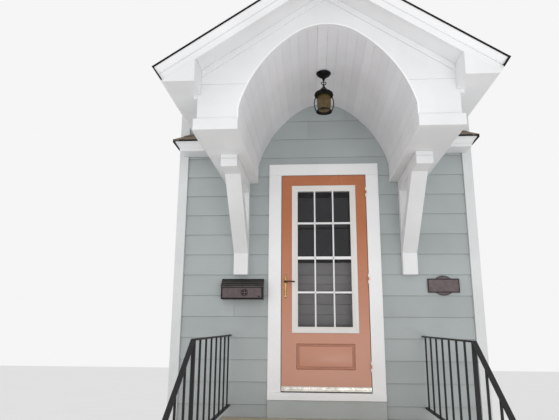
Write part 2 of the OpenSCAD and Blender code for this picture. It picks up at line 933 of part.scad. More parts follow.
// Mailbox: an open-topped box of sheet metal on a back block, with the pin that its lid turns on
module mailbox() {
    half = mailbox_w / 2;
    rim = mailbox_h - lid_gap;
    shoulder = lid_hinge_z - 2 * lid_ear_r;
    module side() {
        polygon([
            [0, 0], [-mailbox_d, 0], [-mailbox_d, mailbox_front_h],
            [lid_hinge_y - lid_ear_r, lid_hinge_z],
            [lid_hinge_y + lid_ear_r, lid_hinge_z], [lid_hinge_y + lid_ear_r, shoulder],
            [-siding_t, shoulder], [-siding_t, rim], [0, rim]
        ]);
        translate([lid_hinge_y, lid_hinge_z]) circle(r = lid_ear_r);
    }
    color("dimgray") translate([-mailbox_x, 0, mailbox_foot]) {
        difference() {
            along_x(-half, half) side();
            block([-half + sheet_t, -mailbox_d + sheet_t, sheet_t], [half - sheet_t, -siding_t, mailbox_h]);
        }
        translate([-half, lid_hinge_y, lid_hinge_z]) rotate([0, 90, 0])
            cylinder(h = mailbox_w, r = lid_pin_r);
    }
}

// The lid slopes down to the front, laps over the mailbox's front and ends, and turns on its barrel
module mailbox_lid() {
    half = mailbox_w / 2 + lid_gap + sheet_t;
    barrel = mailbox_w / 2 - sheet_t - lid_gap;
    low = mailbox_front_h + lid_gap;
    module outline(grow, back) {
        back_z = mailbox_h + (back - lid_back) * lid_slope;
        polygon([
            [lid_front - grow, low - lid_lap], [lid_front - grow, low + grow],
            [back, back_z + grow], [back, back_z - lid_lap]
        ]);
    }
    color("dimgray") translate([-mailbox_x, 0, mailbox_foot]) difference() {
        union() {
            difference() {
                along_x(-half, half) outline(sheet_t, lid_back);
                along_x(-half + sheet_t, half - sheet_t) outline(0, lid_back + 1);
                block([-half + sheet_t, lid_front, 0], [half - sheet_t, lid_back + 1, low]);
            }
            translate([-barrel, lid_hinge_y, lid_hinge_z]) rotate([0, 90, 0])
                cylinder(h = 2 * barrel, r = lid_hinge_r);
        }
        translate([-barrel - 1, lid_hinge_y, lid_hinge_z]) rotate([0, 90, 0])
            cylinder(h = 2 * barrel + 2, r = lid_pin_r + small);
    }
}

// The bare house plaque, with a low crest above and below
module house_plaque() {
    plaque_t = siding_t + plaque_proud;
    plaque_x = bay_x - corner_board_w - plaque_gap - plaque_w / 2;
    crest_r = (pow(crest_w / 2, 2) + pow(crest_out, 2)) / (2 * crest_out);
    color("dimgray") translate([plaque_x, 0, sill_z + plaque_z]) along_y(-plaque_t, 0) {
        square([plaque_w, plaque_h], center = true);
        for (side = [0, 1]) mirror([0, side]) intersection() {
            translate([0, plaque_h / 2 + crest_out - crest_r]) circle(r = crest_r, $fn = 120);
            translate([-crest_w / 2, 0]) square([crest_w, plaque_h]);
        }
    }
}

// Lantern: everything hangs from the eye under the canopy's stem
canopy_top_r = canopy_r * 0.94;
canopy_z = crown_centre[1] + sqrt(pow(crown_r, 2) - pow(canopy_top_r, 2));
stem_z = canopy_z - canopy_h - stem_l;
wire_r = ring_wire / 2;
ring_r = eye_r + wire_r;
eye_z = stem_z - ring_r;
hang = ring_wire + small;
link_z = eye_z - ring_r + hang;
lantern_eye_z = link_z - 2 * ring_r + hang - ring_r;
cap_top_z = lantern_eye_z - ring_r;
brim_z = cap_top_z - lantern_cap_h;
glass_foot_z = brim_z - lantern_glass_h;

// A round eye of wire that stands in the YZ plane
module eye(z) {
    translate([0, -lantern_y, z]) rotate([0, 90, 0]) rotate_extrude()
        translate([ring_r, 0]) circle(r = wire_r, $fn = 24);
}

// A long ring of wire that stands upright, its straight bars turned from X by an angle
module long_ring(z, straight, turn) {
    translate([0, -lantern_y, z]) rotate([0, 0, turn]) for (side = [-1, 1]) {
        translate([side * straight / 2, 0, 0]) rotate([90, side * 90, 0])
            rotate_extrude(angle = 180) translate([ring_r, 0]) circle(r = wire_r, $fn = 24);
        translate([-straight / 2, 0, side * ring_r]) rotate([0, 90, 0])
            cylinder(h = straight, r = wire_r, $fn = 24);
    }
}

// A turned form hung from a level, its outline given as shares of its radius and of its height
module turned(outline, r, top, h) {
    translate([0, -lantern_y, top]) rotate_extrude() polygon([for (p = outline) [r * p[0], -h * p[1]]]);
}

module lantern_canopy() {
    bowl = [[0, 0], [canopy_top_r / canopy_r, 0], [1, 0.15], [0.93, 0.36], [0.66, 0.7], [0.3, 1], [0, 1]];
    stem = [[0, 0], [1, 0], [0.42, 0.4], [0.26, 1], [0, 1]];
    color("black") {
        turned(bowl, canopy_r, canopy_z, canopy_h);
        turned(stem, canopy_r * 0.3, canopy_z - canopy_h, stem_l);
        eye(eye_z);
    }
}

module lantern_link() {
    color("black") long_ring(link_z - ring_r, link_straight, 0);
}

// Flared cap, the bowed wires on both sides and the base in one piece
module lantern_frame() {
    cap = [
        [0, 0], [0.1, 0], [0.37, 0.26], [0.62, 0.53], [0.78, 0.64], [0.95, 0.8],
        [1, 0.94], [0.9, 1.04], [0.68, 1], [0, 1]
    ];
    base = [[0, 0], [0.94, 0], [1, 0.3], [0.75, 0.85], [0, 1]];
    base_lip = 14;
    foot_r = lantern_glass_r + base_lip;
    seat = 3;
    foot = [foot_r - seat - wire_r, glass_foot_z - seat];
    head = [brim_r * 0.82, brim_z + seat];
    bow = brim_r + wire_r - head[0];
    color("black") {
        long_ring(lantern_eye_z, ring_wire, 90);
        turned(cap, brim_r, cap_top_z, lantern_cap_h);
        turned(base, foot_r, glass_foot_z, lantern_base_h);
        for (turn = [0, 180])
            translate([0, -lantern_y, 0]) rotate([0, 0, turn]) along_y(-wire_r, wire_r)
                bowed_wire(foot, head, bow);
    }
}

// A wire that bows out between two points, drawn flat
module bowed_wire(foot, head, bow) {
    bends = 12;
    side = [for (i = [0 : bends])
        let (share = i / bends) foot + (head - foot) * share + [bow * sin(180 * share), 0]];
    polygon(concat([for (p = side) p + [wire_r, 0]], [for (i = [bends : -1 : 0]) side[i] - [wire_r, 0]]));
}

module lantern_glass() {
    color("orange", 0.6) translate([0, -lantern_y, glass_foot_z]) difference() {
        cylinder(h = lantern_glass_h, r = lantern_glass_r);
        translate([0, 0, 1]) cylinder(h = lantern_glass_h - 2, r = lantern_glass_r - lantern_glass_t);
    }
}

foundation();
wall_sides();
wall_centre();
corner_boards();
door_casing();
door_frame();
door_sill();
riser_board();
pent_roofs();
pent_cornices();
hood_beams();
gable_panel();
vault();
beam_caps();
frieze();
rake_soffit();
rake_boards();
eave_boxes();
hood_roof();
bracket_arms();
bracket_posts();
bracket_braces();
landing_slab();
landing_base();
step_top();
step_middle();
step_bottom();
landing_railings();
stair_railings();
storm_door();
storm_sweep();
storm_lite_frame();
storm_glass();
handle_plate();
door_lever();
inner_door();
inner_door_knob();
door_hinges();
mailbox();
mailbox_lid();
house_plaque();
lantern_canopy();
lantern_link();
lantern_frame();
lantern_glass();
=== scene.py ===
"""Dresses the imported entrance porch: clapboards, mouldings, shingles, a planked vault, the glazed storm door
with its ironmongery, railings and a lantern, under plain studio light and the photograph's camera."""

import math
import random

import bmesh
import bpy
from mathutils import Matrix, Vector


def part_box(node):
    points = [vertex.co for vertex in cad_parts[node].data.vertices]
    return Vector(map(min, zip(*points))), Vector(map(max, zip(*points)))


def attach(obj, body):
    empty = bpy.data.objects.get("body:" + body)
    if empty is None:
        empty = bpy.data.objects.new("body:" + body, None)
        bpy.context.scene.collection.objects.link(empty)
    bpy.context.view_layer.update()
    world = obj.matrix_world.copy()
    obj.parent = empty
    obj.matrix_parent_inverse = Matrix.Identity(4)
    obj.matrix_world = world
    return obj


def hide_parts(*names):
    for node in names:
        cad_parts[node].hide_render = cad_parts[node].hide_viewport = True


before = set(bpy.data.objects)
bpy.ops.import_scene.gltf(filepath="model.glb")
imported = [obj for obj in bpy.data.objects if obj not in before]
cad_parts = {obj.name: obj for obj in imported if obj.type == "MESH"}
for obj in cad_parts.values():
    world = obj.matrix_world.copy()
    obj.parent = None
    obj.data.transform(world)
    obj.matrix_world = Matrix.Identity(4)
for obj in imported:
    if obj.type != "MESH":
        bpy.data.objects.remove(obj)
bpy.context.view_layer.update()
dice = random.Random(7)
scene = bpy.context.scene

# Places taken from the frame, in metres. X runs to the right, Y into the wall and Z up.
WALL_LOW, WALL_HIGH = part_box("wall_sides")
CORNER_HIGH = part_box("corner_boards")[1]
CASING_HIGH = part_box("door_casing")[1]
SILL_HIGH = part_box("door_sill")[1]
LANDING_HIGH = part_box("landing_slab")[1]
BEAM_LOW, BEAM_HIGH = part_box("hood_beams")
GABLE_LOW, GABLE_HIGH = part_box("gable_panel")
SPRING_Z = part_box("vault")[0].z
CAP_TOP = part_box("beam_caps")[1].z
RAKE_LOW, RAKE_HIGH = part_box("rake_boards")
ROOF_LOW, ROOF_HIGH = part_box("hood_roof")
ARM_LOW, ARM_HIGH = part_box("bracket_arms")
PENT_LOW, PENT_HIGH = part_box("pent_cornices")
LEAF_LOW, LEAF_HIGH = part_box("storm_door")
SWEEP_LOW, SWEEP_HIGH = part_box("storm_sweep")
LITE_LOW, LITE_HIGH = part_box("storm_lite_frame")
PLATE_LOW, PLATE_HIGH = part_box("handle_plate")
LEVER_LOW, LEVER_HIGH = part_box("door_lever")
INNER_LOW, INNER_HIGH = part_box("inner_door")
HINGES_LOW, HINGES_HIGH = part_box("door_hinges")
BOX_LOW, BOX_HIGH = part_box("mailbox")
LID_LOW, LID_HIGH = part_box("mailbox_lid")
PLAQUE_LOW, PLAQUE_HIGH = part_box("house_plaque")
CANOPY_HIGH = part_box("lantern_canopy")[1]
LANTERN_LOW, LANTERN_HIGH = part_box("lantern_frame")
AMBER_LOW, AMBER_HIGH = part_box("lantern_glass")
SIDES = (-1, 1)

# Roof form: a pitch and a ridge, with depths measured square to the slope
PITCH = math.radians(33.9)
RIDGE_Z = ROOF_HIGH.z
EAVE_X = ROOF_HIGH.x
ROOF_T = 0.018
SLOPE_L = EAVE_X / math.cos(PITCH)


def linear(colour):
    """A linear colour from the three numbers of a screen colour."""
    shares = [value / 255 for value in colour]
    return (*(s / 12.92 if s <= 0.04045 else ((s + 0.055) / 1.055) ** 2.4 for s in shares), 1.0)


# Materials

def add(tree, kind, **settings):
    """Adds a node. Settings are its own values or its sockets, by name or as _0 and so on by number."""
    node = tree.nodes.new("ShaderNode" + kind)
    for key, value in settings.items():
        if hasattr(node, key):
            setattr(node, key, value)
    for key, value in settings.items():
        if not hasattr(node, key):
            socket = node.inputs[int(key[1:])] if key[1:].isdigit() else node.inputs[key]
            if isinstance(value, bpy.types.NodeSocket):
                tree.links.new(value, socket)
            else:
                socket.default_value = value
    return node


def new_material(name, roughness, **sockets):
    """A material and its node tree, with the uniform values of its Principled shader."""
    material = bpy.data.materials.new(name)
    material.use_nodes = True
    inputs = material.node_tree.nodes["Principled BSDF"].inputs
    inputs["Roughness"].default_value = roughness
    for key, value in sockets.items():
        inputs[key.replace("_", " ")].default_value = value
    return material, material.node_tree


def finish(tree, **values):
    """Links what varies over the surface into the shader."""
    for key, value in values.items():
        tree.links.new(value, tree.nodes["Principled BSDF"].inputs[key.replace("_", " ")])


def place_in(tree, stretch=(1, 1, 1)):
    """The place on the object, stretched along its axes."""
    where = add(tree, "TexCoord").outputs["Object"]
    return add(tree, "Mapping", Vector=where, Scale=stretch).outputs["Vector"]


def noise(tree, scale, detail, stretch=(1, 1, 1)):
    return add(tree, "TexNoise", Vector=place_in(tree, stretch), Scale=scale, Detail=detail).outputs["Fac"]


def spread(tree, value, low, high, from_low=0.0, from_high=1.0):
    """A value carried over from one range to another."""
    made = add(tree, "MapRange", Value=value)
    for key, number in (("From Min", from_low), ("From Max", from_high), ("To Min", low), ("To Max", high)):
        made.inputs[key].default_value = number
    return made.outputs["Result"]


def mix(tree, factor, first, second, mode="MIX"):
    """Two colours mixed: each is a socket, a linear colour or the three numbers of a screen colour."""
    made = add(tree, "Mix", data_type="RGBA", blend_type=mode)
    for socket, value in ((0, factor), (6, first), (7, second)):
        if isinstance(value, bpy.types.NodeSocket):
            tree.links.new(value, made.inputs[socket])
        else:
            made.inputs[socket].default_value = linear(value) if socket and len(value) == 3 else value
    return made.outputs[2]


def times(tree, colour, value, low, high, from_low=0.0, from_high=1.0):
    """A colour made lighter or darker by a value that is spread over a range."""
    value = spread(tree, value, low, high, from_low, from_high)
    grey = add(tree, "CombineColor", Red=value, Green=value, Blue=value).outputs["Color"]
    return mix(tree, 1.0, colour, grey, "MULTIPLY")


def board_tone(tree):
    return add(tree, "Attribute", attribute_name="tone").outputs["Fac"]


def bump(tree, height, distance, normal=None):
    made = add(tree, "Bump", Height=height, Distance=distance, Strength=1.0)
    if normal:
        tree.links.new(normal, made.inputs["Normal"])
    return made.outputs["Normal"]


def painted(name, colour, shade, roughness=0.45, grain="x", painted_corner_shade=0.10, brush=0.0004, painted_light_fall=None):
    """Brushed house paint: each board a little lighter or darker, soft weathering, and painted shade that
    darkens the corners.

    Painted light can take the paint over to a third colour on the way down, from the first height to the
    second one: painted shade above and a painted sheen below.
    """
    material, tree = new_material(name, roughness)
    along = {"x": (0.05, 1, 1), "y": (1, 0.05, 1), "z": (1, 1, 0.05)}[grain]
    strokes = noise(tree, 420, 2, along)
    clouds = noise(tree, 2.3, 4)
    base = mix(tree, spread(tree, clouds, 0, 1, 0.35, 0.68), colour, shade)
    # Painted light by height: darker higher up as painted shade, lighter lower down as a painted sheen.
    if painted_light_fall:
        sheen_colour, high_z, low_z = painted_light_fall
        height = add(tree, "SeparateXYZ", Vector=place_in(tree)).outputs["Z"]
        base = mix(tree, spread(tree, height, 0, 1, high_z, low_z), base, sheen_colour)
    base = times(tree, base, board_tone(tree), 0.955, 1.03)
    base = times(tree, base, strokes, 0.985, 1.012)
    # Painted shade: ambient occlusion darkens the paint in corners, creases and between boards.
    corner = add(tree, "AmbientOcclusion", samples=4, Distance=0.018).outputs["AO"]
    base = times(tree, base, corner, 1 - painted_corner_shade, 1.0, 0.15, 0.75)
    dents = bump(tree, noise(tree, 9, 2, along), 0.0006)
    finish(tree, Base_Color=base, Roughness=spread(tree, clouds, roughness - 0.06, roughness + 0.1),
           Normal=bump(tree, strokes, brush, dents))
    return material


def stony(name, colour, shade, grit, scale=90):
    """Concrete or parging: sandy grit, pits and damp clouds."""
    roughness, pits = 0.85, 0.0016
    material, tree = new_material(name, roughness)
    clouds = noise(tree, 3.1, 5)
    sand = noise(tree, scale * 4, 3)
    base = mix(tree, spread(tree, clouds, 0, 1, 0.32, 0.7), colour, shade)
    base = mix(tree, spread(tree, sand, 0, 0.5, 0.5, 0.8), base, grit)
    base = times(tree, base, board_tone(tree), 0.94, 1.05)
    coarse = bump(tree, noise(tree, scale, 4), pits)
    finish(tree, Base_Color=base, Roughness=spread(tree, clouds, roughness - 0.1, roughness + 0.08),
           Normal=bump(tree, sand, pits / 3, coarse))
    return material


def metal(name, colour, shade, roughness, brushed=(1, 1, 1), metallic=1.0, scale=160, wear=0.0002,
          gloss=0.5):
    """Metal with uneven tarnish or paint and a fine drawn or cast surface."""
    material, tree = new_material(name, roughness, Metallic=metallic, Specular_IOR_Level=gloss)
    clouds = noise(tree, 26, 4)
    fine = noise(tree, scale, 3, brushed)
    base = mix(tree, spread(tree, clouds, 0, 1, 0.38, 0.68), colour, shade)
    uneven = spread(tree, clouds, max(roughness - 0.1, 0.05), min(roughness + 0.16, 1))
    finish(tree, Base_Color=times(tree, base, fine, 0.9, 1.06), Roughness=uneven,
           Normal=bump(tree, fine, wear))
    return material


def shingle_material(name, dark, mid, light):
    """Asphalt shingles: each tab its own tone, under coarse mineral granules."""
    material, tree = new_material(name, 0.92)
    granules = noise(tree, 700, 2)
    base = mix(tree, board_tone(tree), dark, mid)
    base = mix(tree, spread(tree, granules, 0, 0.8, 0.52, 0.72), base, light)
    finish(tree, Base_Color=times(tree, base, noise(tree, 6, 4), 0.8, 1.15),
           Roughness=spread(tree, granules, 0.85, 1.0), Normal=bump(tree, granules, 0.0014))
    return material


def glazing(name, tint, alpha, ribs=0.0):
    """Clear or coloured glass, faintly uneven. Ribs make it rougher and more wavy."""
    material, tree = new_material(name, 0.04, Alpha=alpha, IOR=1.5)
    streaks = noise(tree, 14, 3, (1, 1, 0.3))
    darker, lighter = (tuple(value * share for value in linear(tint)[:3]) + (1.0,) for share in (0.8, 1.2))
    finish(tree, Base_Color=mix(tree, streaks, darker, lighter),
           Roughness=spread(tree, streaks, 0.02, 0.09 + ribs),
           Normal=bump(tree, noise(tree, 7, 2), 0.0008 + 0.002 * ribs))
    return material


def wall_material(name, sheathing, plaster, inner_y):
    """Plain sheathing at the party ends, and painted plaster inside the house."""
    material, tree = new_material(name, 0.8)
    depth = add(tree, "SeparateXYZ", Vector=place_in(tree)).outputs["Y"]
    inside = spread(tree, depth, 0, 1, inner_y - 0.002, inner_y - 0.001)
    trowel = noise(tree, 11, 4)
    grainy = noise(tree, 260, 3, (0.2, 1, 1))
    base = times(tree, mix(tree, inside, sheathing, plaster), trowel, 0.93, 1.05)
    finish(tree, Base_Color=times(tree, base, grainy, 0.96, 1.03), Roughness=spread(tree, trowel, 0.7, 0.92),
           Normal=bump(tree, grainy, 0.0006, bump(tree, trowel, 0.0015)))
    return material


WHITE, WHITE_SHADE = (238, 239, 240), (229, 230, 231)
# Each paint below darkens its corners by its own amount of painted shade.
SIDING = painted("siding_paint", (175, 182, 182), (168, 175, 175), 0.5, painted_corner_shade=0.45)
TRIM_X, TRIM_Y, TRIM_Z = (painted("trim_paint_" + way, WHITE, WHITE_SHADE, grain=way) for way in "xyz")
# Painted light: a lighter copy of the trim white, used on the casing, sill, bead, bars and hinges where the
# hood shades them.
CASING_WHITE_PAINTED_LIGHT = painted("casing_paint_painted_light", (250, 250, 251), (244, 244, 245), grain="z")
# Painted shade: a darker copy of the trim white for the corner boards.
CORNER_WHITE_PAINTED_SHADE = painted("corner_board_paint_painted_shade", (226, 229, 229), (217, 220, 220), grain="z")
VAULT_PAINT = painted("vault_paint", (240, 240, 243), (233, 233, 236), grain="y", painted_corner_shade=0.12)
RISER_PAINT = painted("riser_paint", (187, 192, 191), (178, 183, 182), 0.55)
# The door paint is darker high up and lighter low down, as painted shade and a painted sheen.
DOOR_PAINT = painted("door_paint", (189, 114, 72), (183, 108, 67), 0.28, grain="z", painted_corner_shade=0.6, brush=0.0002,
                     painted_light_fall=((203, 144, 120), 2.45, 1.4))
LITE_PAINT = painted("lite_paint", (236, 233, 230), (228, 225, 221), 0.4, grain="z", painted_corner_shade=0.3)
# Painted reflection: the inner door's grey stands in for clapboards mirrored in the storm door's glass.
INNER_DOOR_PAINTED_REFLECTION = painted("inner_door_paint_painted_reflection", (166, 164, 165), (155, 153, 154), 0.5, painted_corner_shade=0.6)
CONCRETE = stony("landing_concrete", (190, 178, 158), (172, 160, 141), (140, 130, 116))
PARGING = stony("foundation_parging", (158, 158, 154), (140, 140, 137), (112, 112, 110), 60)
CAST = {"scale": 300, "wear": 0.0006}
IRON = metal("black_iron", (20, 21, 23), (29, 29, 31), 0.5, metallic=0.1, scale=240, wear=0.0006, gloss=0.35)
LANTERN_IRON = metal("lantern_iron", (9, 9, 8), (17, 16, 14), 0.42, metallic=0.0, gloss=0.15, **CAST)
# Painted highlight: the cap's black iron is coloured grey as if it reflected the sky.
LANTERN_CAP_PAINTED_HIGHLIGHT = metal("lantern_cap_iron_painted_highlight", (62, 61, 56), (48, 47, 42), 0.45, metallic=0.1, gloss=0.3, **CAST)
DRIP_METAL = metal("drip_edge", (12, 10, 10), (20, 17, 17), 0.55, (0.1, 0.1, 1), 0.0, gloss=0.2)
BRASS = metal("aged_brass", (236, 204, 138), (206, 164, 100), 0.24, (1, 1, 0.2))
DARK_BRASS = metal("dark_brass", (66, 44, 32), (46, 31, 23), 0.32, metallic=0.6)
SATIN = metal("satin_aluminium", (218, 214, 206), (190, 185, 176), 0.25, (0.02, 1, 1), scale=500)
STEEL = metal("hinge_steel", (190, 188, 184), (160, 158, 154), 0.32)
RUBBER = metal("black_rubber", (34, 33, 33), (46, 45, 44), 0.75, metallic=0.0)
MAILBOX_LID = metal("mailbox_lid_metal", (84, 78, 77), (70, 65, 65), 0.42, metallic=0.3, scale=300)
MAILBOX_BODY = metal("mailbox_metal", (100, 88, 89), (89, 78, 79), 0.45, metallic=0.3, scale=300)
MAILBOX_RIB = metal("mailbox_rib_metal", (12, 11, 11), (20, 18, 19), 0.5, metallic=0.0, scale=300, gloss=0.2)
PLAQUE_METAL = metal("plaque_metal", (112, 100, 101), (96, 85, 87), 0.55, metallic=0.25, scale=420,
                     wear=0.001)
PLAQUE_EDGE = metal("plaque_border", (40, 34, 35), (56, 48, 49), 0.5, metallic=0.1, scale=420, gloss=0.3)
HOOD_SHINGLES = shingle_material("hood_shingles", (52, 48, 47), (84, 78, 75), (118, 110, 104))
PENT_SHINGLES = shingle_material("pent_shingles", (78, 68, 60), (134, 120, 104), (168, 154, 136))
CLEAR = glazing("storm_glass", (60, 62, 66), 0.16)
# Painted shade: nearly opaque, almost black glass stands in for the unlit house seen behind the inner door.
GLASS_PAINTED_INTERIOR_SHADE = glazing("glass_painted_interior_shade", (20, 19, 18), 0.97)
AMBER = glazing("amber_glass", (108, 90, 46), 0.56, ribs=0.12)
BULB = metal("candle_bulb", (20, 11, 5), (14, 8, 4), 0.5, metallic=0.0, gloss=0.2)
WALL = wall_material("wall_core", (178, 178, 172), (222, 219, 210), WALL_HIGH.y)


# Shapes

AXIS_PLACES = {"x": lambda u, v, w: (w, u, v), "y": lambda u, v, w: (u, w, v),
               "z": lambda u, v, w: (u, v, w)}
SMOOTH_ANGLE, EASE_ANGLE = math.radians(32), math.radians(40)


class Form:
    """Closed shapes in one mesh. Each has a tone, random when it is None, that its material may read."""

    def __init__(self):
        self.mesh = bmesh.new()
        self.tones = self.mesh.faces.layers.float.new("tone")

    def loft(self, rings, tone=None, closed=False):
        """Skins rings of points. An open loft gets a flat end at each side."""
        tone = dice.random() if tone is None else tone
        rows = [[self.mesh.verts.new(point) for point in ring] for ring in rings]
        count = len(rows[0])
        made = []
        for first, second in zip(rows, rows[1:] + rows[:1] if closed else rows[1:]):
            for i in range(count):
                j = (i + 1) % count
                made.append(self.mesh.faces.new((first[i], first[j], second[j], second[i])))
        if not closed:
            made.append(self.mesh.faces.new(rows[0][::-1]))
            made.append(self.mesh.faces.new(rows[-1]))
        for face in made:
            face[self.tones] = tone

    def prism(self, outline, axis, low, high, tone=None):
        """A flat outline carried along an axis, with its two coordinates on the other axes in order."""
        place = AXIS_PLACES[axis]
        self.loft([[place(u, v, w) for u, v in outline] for w in (low, high)], tone)

    def box(self, low, high, tone=None):
        outline = [(low[0], low[1]), (high[0], low[1]), (high[0], high[1]), (low[0], high[1])]
        self.prism(outline, "z", low[2], high[2], tone)

    def lathe(self, profile, centre, axis="z", turns=32, tone=None, lobes=0, closed=False, way=1):
        """Turns a profile of (radius, place) round an axis. A third number scallops that ring in lobes."""
        place = AXIS_PLACES[axis]
        rings = []
        for radius, along, *depth in profile:
            ring = []
            for step in range(turns):
                turn = 2 * math.pi * step / turns
                reach = max(radius, 0.0003) * (1 + sum(depth) * math.cos(lobes * turn))
                point = place(reach * math.cos(turn), reach * math.sin(turn), way * along)
                ring.append([c + p for c, p in zip(centre, point)])
            rings.append(ring)
        self.loft(rings, tone, closed)

    def tube(self, path, radius, sides=10, tone=None, closed=False, flat=1.0):
        """A round bar along a path. The radius is one number or one for each point, and flat squashes it."""
        path = [Vector(point) for point in path]
        count = len(path)
        radii = radius if isinstance(radius, (list, tuple)) else [radius] * count
        side = None
        rings = []
        for i, point in enumerate(path):
            before = path[i - 1] if i or closed else point
            after = path[(i + 1) % count] if i + 1 < count or closed else point
            ahead = (after - before).normalized()
            if side is None:
                side = ahead.orthogonal()
            side = (side - ahead * side.dot(ahead)).normalized()
            over = ahead.cross(side)
            rings.append([point + radii[i] * (math.cos(t) * side + flat * math.sin(t) * over)
                          for t in (2 * math.pi * k / sides for k in range(sides))])
        self.loft(rings, tone, closed)

    def frame(self, low, high, profile, tone):
        """A mitred frame: a profile of (inset, y) carried round an upright rectangle."""
        place = AXIS_PLACES["y"]
        corners = [(low, low, 1, 1), (high, low, -1, 1), (high, high, -1, -1), (low, high, 1, -1)]
        rings = [[place(a[0] + s * inset, b[1] + t * inset, along) for inset, along in profile]
                 for a, b, s, t in corners]
        self.loft(rings, tone, closed=True)

    def terrace(self, low, high, steps, tone):
        """An upright slab stepped through nested rectangles: steps of (inset, y) from face to face."""
        place = AXIS_PLACES["y"]
        rings = [[place(low[0] + i, low[1] + i, w), place(high[0] - i, low[1] + i, w),
                  place(high[0] - i, high[1] - i, w), place(low[0] + i, high[1] - i, w)] for i, w in steps]
        self.loft(rings, tone)

    def plate(self, outer, holes, low, high, tone=0.5):
        """An upright plate between two depths, with holes: each rectangle is (x0, z0, x1, z1)."""
        place = AXIS_PLACES["y"]
        us = sorted({u for r in [outer] + holes for u in (r[0], r[2])})
        vs = sorted({v for r in [outer] + holes for v in (r[1], r[3])})
        corners = {}

        def corner(i, j, w):
            if (i, j, w) not in corners:
                corners[(i, j, w)] = self.mesh.verts.new(place(us[i], vs[j], w))
            return corners[(i, j, w)]

        def solid(i, j):
            if not (0 <= i < len(us) - 1 and 0 <= j < len(vs) - 1):
                return False
            u, v = (us[i] + us[i + 1]) / 2, (vs[j] + vs[j + 1]) / 2
            return not any(r[0] < u < r[2] and r[1] < v < r[3] for r in holes)

        made = []
        ring = ((0, 0), (1, 0), (1, 1), (0, 1))
        beyond = ((0, -1), (1, 0), (0, 1), (-1, 0))
        for i, j in ((i, j) for i in range(len(us) - 1) for j in range(len(vs) - 1) if solid(i, j)):
            made += [[corner(i + a, j + b, w) for a, b in ring] for w in (low, high)]
            for (a, b), (c, d), step in zip(ring, ring[1:] + ring[:1], beyond):
                if not solid(i + step[0], j + step[1]):
                    made.append([corner(i + a, j + b, low), corner(i + c, j + d, low),
                                 corner(i + c, j + d, high), corner(i + a, j + b, high)])
        for points in made:
            self.mesh.faces.new(points)[self.tones] = tone

    def node(self, name):
        """The solid of a CAD node, its flat faces whole again so that their edges can be eased."""
        copy = bmesh.new()
        copy.from_mesh(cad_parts[name].data)
        bmesh.ops.remove_doubles(copy, verts=copy.verts, dist=0.00002)
        bmesh.ops.dissolve_limit(copy, angle_limit=math.radians(0.5), verts=copy.verts, edges=copy.edges)
        points = {v: self.mesh.verts.new(v.co) for v in copy.verts}
        for face in copy.faces:
            self.mesh.faces.new([points[v] for v in face.verts])[self.tones] = 0.5
        copy.free()

    def to_object(self, name, material):
        """The Blender object, with its faces turned outwards."""
        bmesh.ops.recalc_face_normals(self.mesh, faces=self.mesh.faces)
        mesh = bpy.data.meshes.new(name)
        self.mesh.to_mesh(mesh)
        self.mesh.free()
        mesh.materials.append(material)
        made = bpy.data.objects.new(name, mesh)
        scene.collection.objects.link(made)
        return made

    def piece(self, name, material, body="porch", slot=None, replaces=(), ease=0.0012):
        """A piece of the porch on its body, with its edges eased and its curves shaded smooth."""
        made = self.to_object(name, material)
        made.data.polygons.foreach_set("use_smooth", [True] * len(made.data.polygons))
        made.data.set_sharp_from_angle(angle=SMOOTH_ANGLE)
        if ease:
            bevel = made.modifiers.new("eased_edges", "BEVEL")
            bevel.width = ease
            bevel.segments = 2
            bevel.limit_method = "ANGLE"
            bevel.angle_limit = EASE_ANGLE
            bevel.harden_normals = True
        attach(made, body)
        if replaces:
            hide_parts(*replaces)
        return made


def eased_node(node, material, slot, body="porch", ease=0.002, name=None):
    """A node's own solid with eased edges and a better material."""
    form = Form()
    form.node(node)
    return form.piece(name or node + "_dressed", material, body, slot, (node,), ease)


def curve_points(steps, point_at):
    return [point_at(step / steps) for step in range(steps + 1)]


def arc_points(centre, radius, start, end, steps):
    """Points on an arc in a plane, with angles in degrees."""
    def point_at(t):
        turn = math.radians(start + (end - start) * t)
        return centre[0] + radius * math.cos(turn), centre[1] + radius * math.sin(turn)

    return curve_points(steps, point_at)


def shifted(profile, u=0.0, v=0.0):
    """A profile moved as a whole."""
    return [(a + u, b + v) for a, b in profile]


def on_roof(side, along, depth, y):
    """A point at a distance down the slope and a depth square to it."""
    return (side * (along * math.cos(PITCH) - depth * math.sin(PITCH)), y,
            RIDGE_Z - along * math.sin(PITCH) - depth * math.cos(PITCH))


def rake_band(form, side, profile, tone):
    """A moulding that follows the rake from a plumb cut at the ridge to the square eave."""
    form.loft([[on_roof(side, depth * math.tan(PITCH), depth, y) for depth, y in profile],
               [on_roof(side, SLOPE_L, depth, y) for depth, y in profile]], tone)


def clipped(outline, inside):
    """An outline cut by the line where inside() is zero. It is positive on the kept side."""
    kept = []
    for i, point in enumerate(outline):
        after = outline[(i + 1) % len(outline)]
        here, there = inside(*point), inside(*after)
        if here >= 0:
            kept.append(point)
        if (here >= 0) != (there >= 0):
            t = here / (here - there)
            kept.append(tuple(a + (b - a) * t for a, b in zip(point, after)))
    return kept


# Shingle tabs: their width, half the gap between two of them, and their thickness at the top
TAB_W, TAB_GAP, TOP_T = 0.305, 0.0018, 0.0012


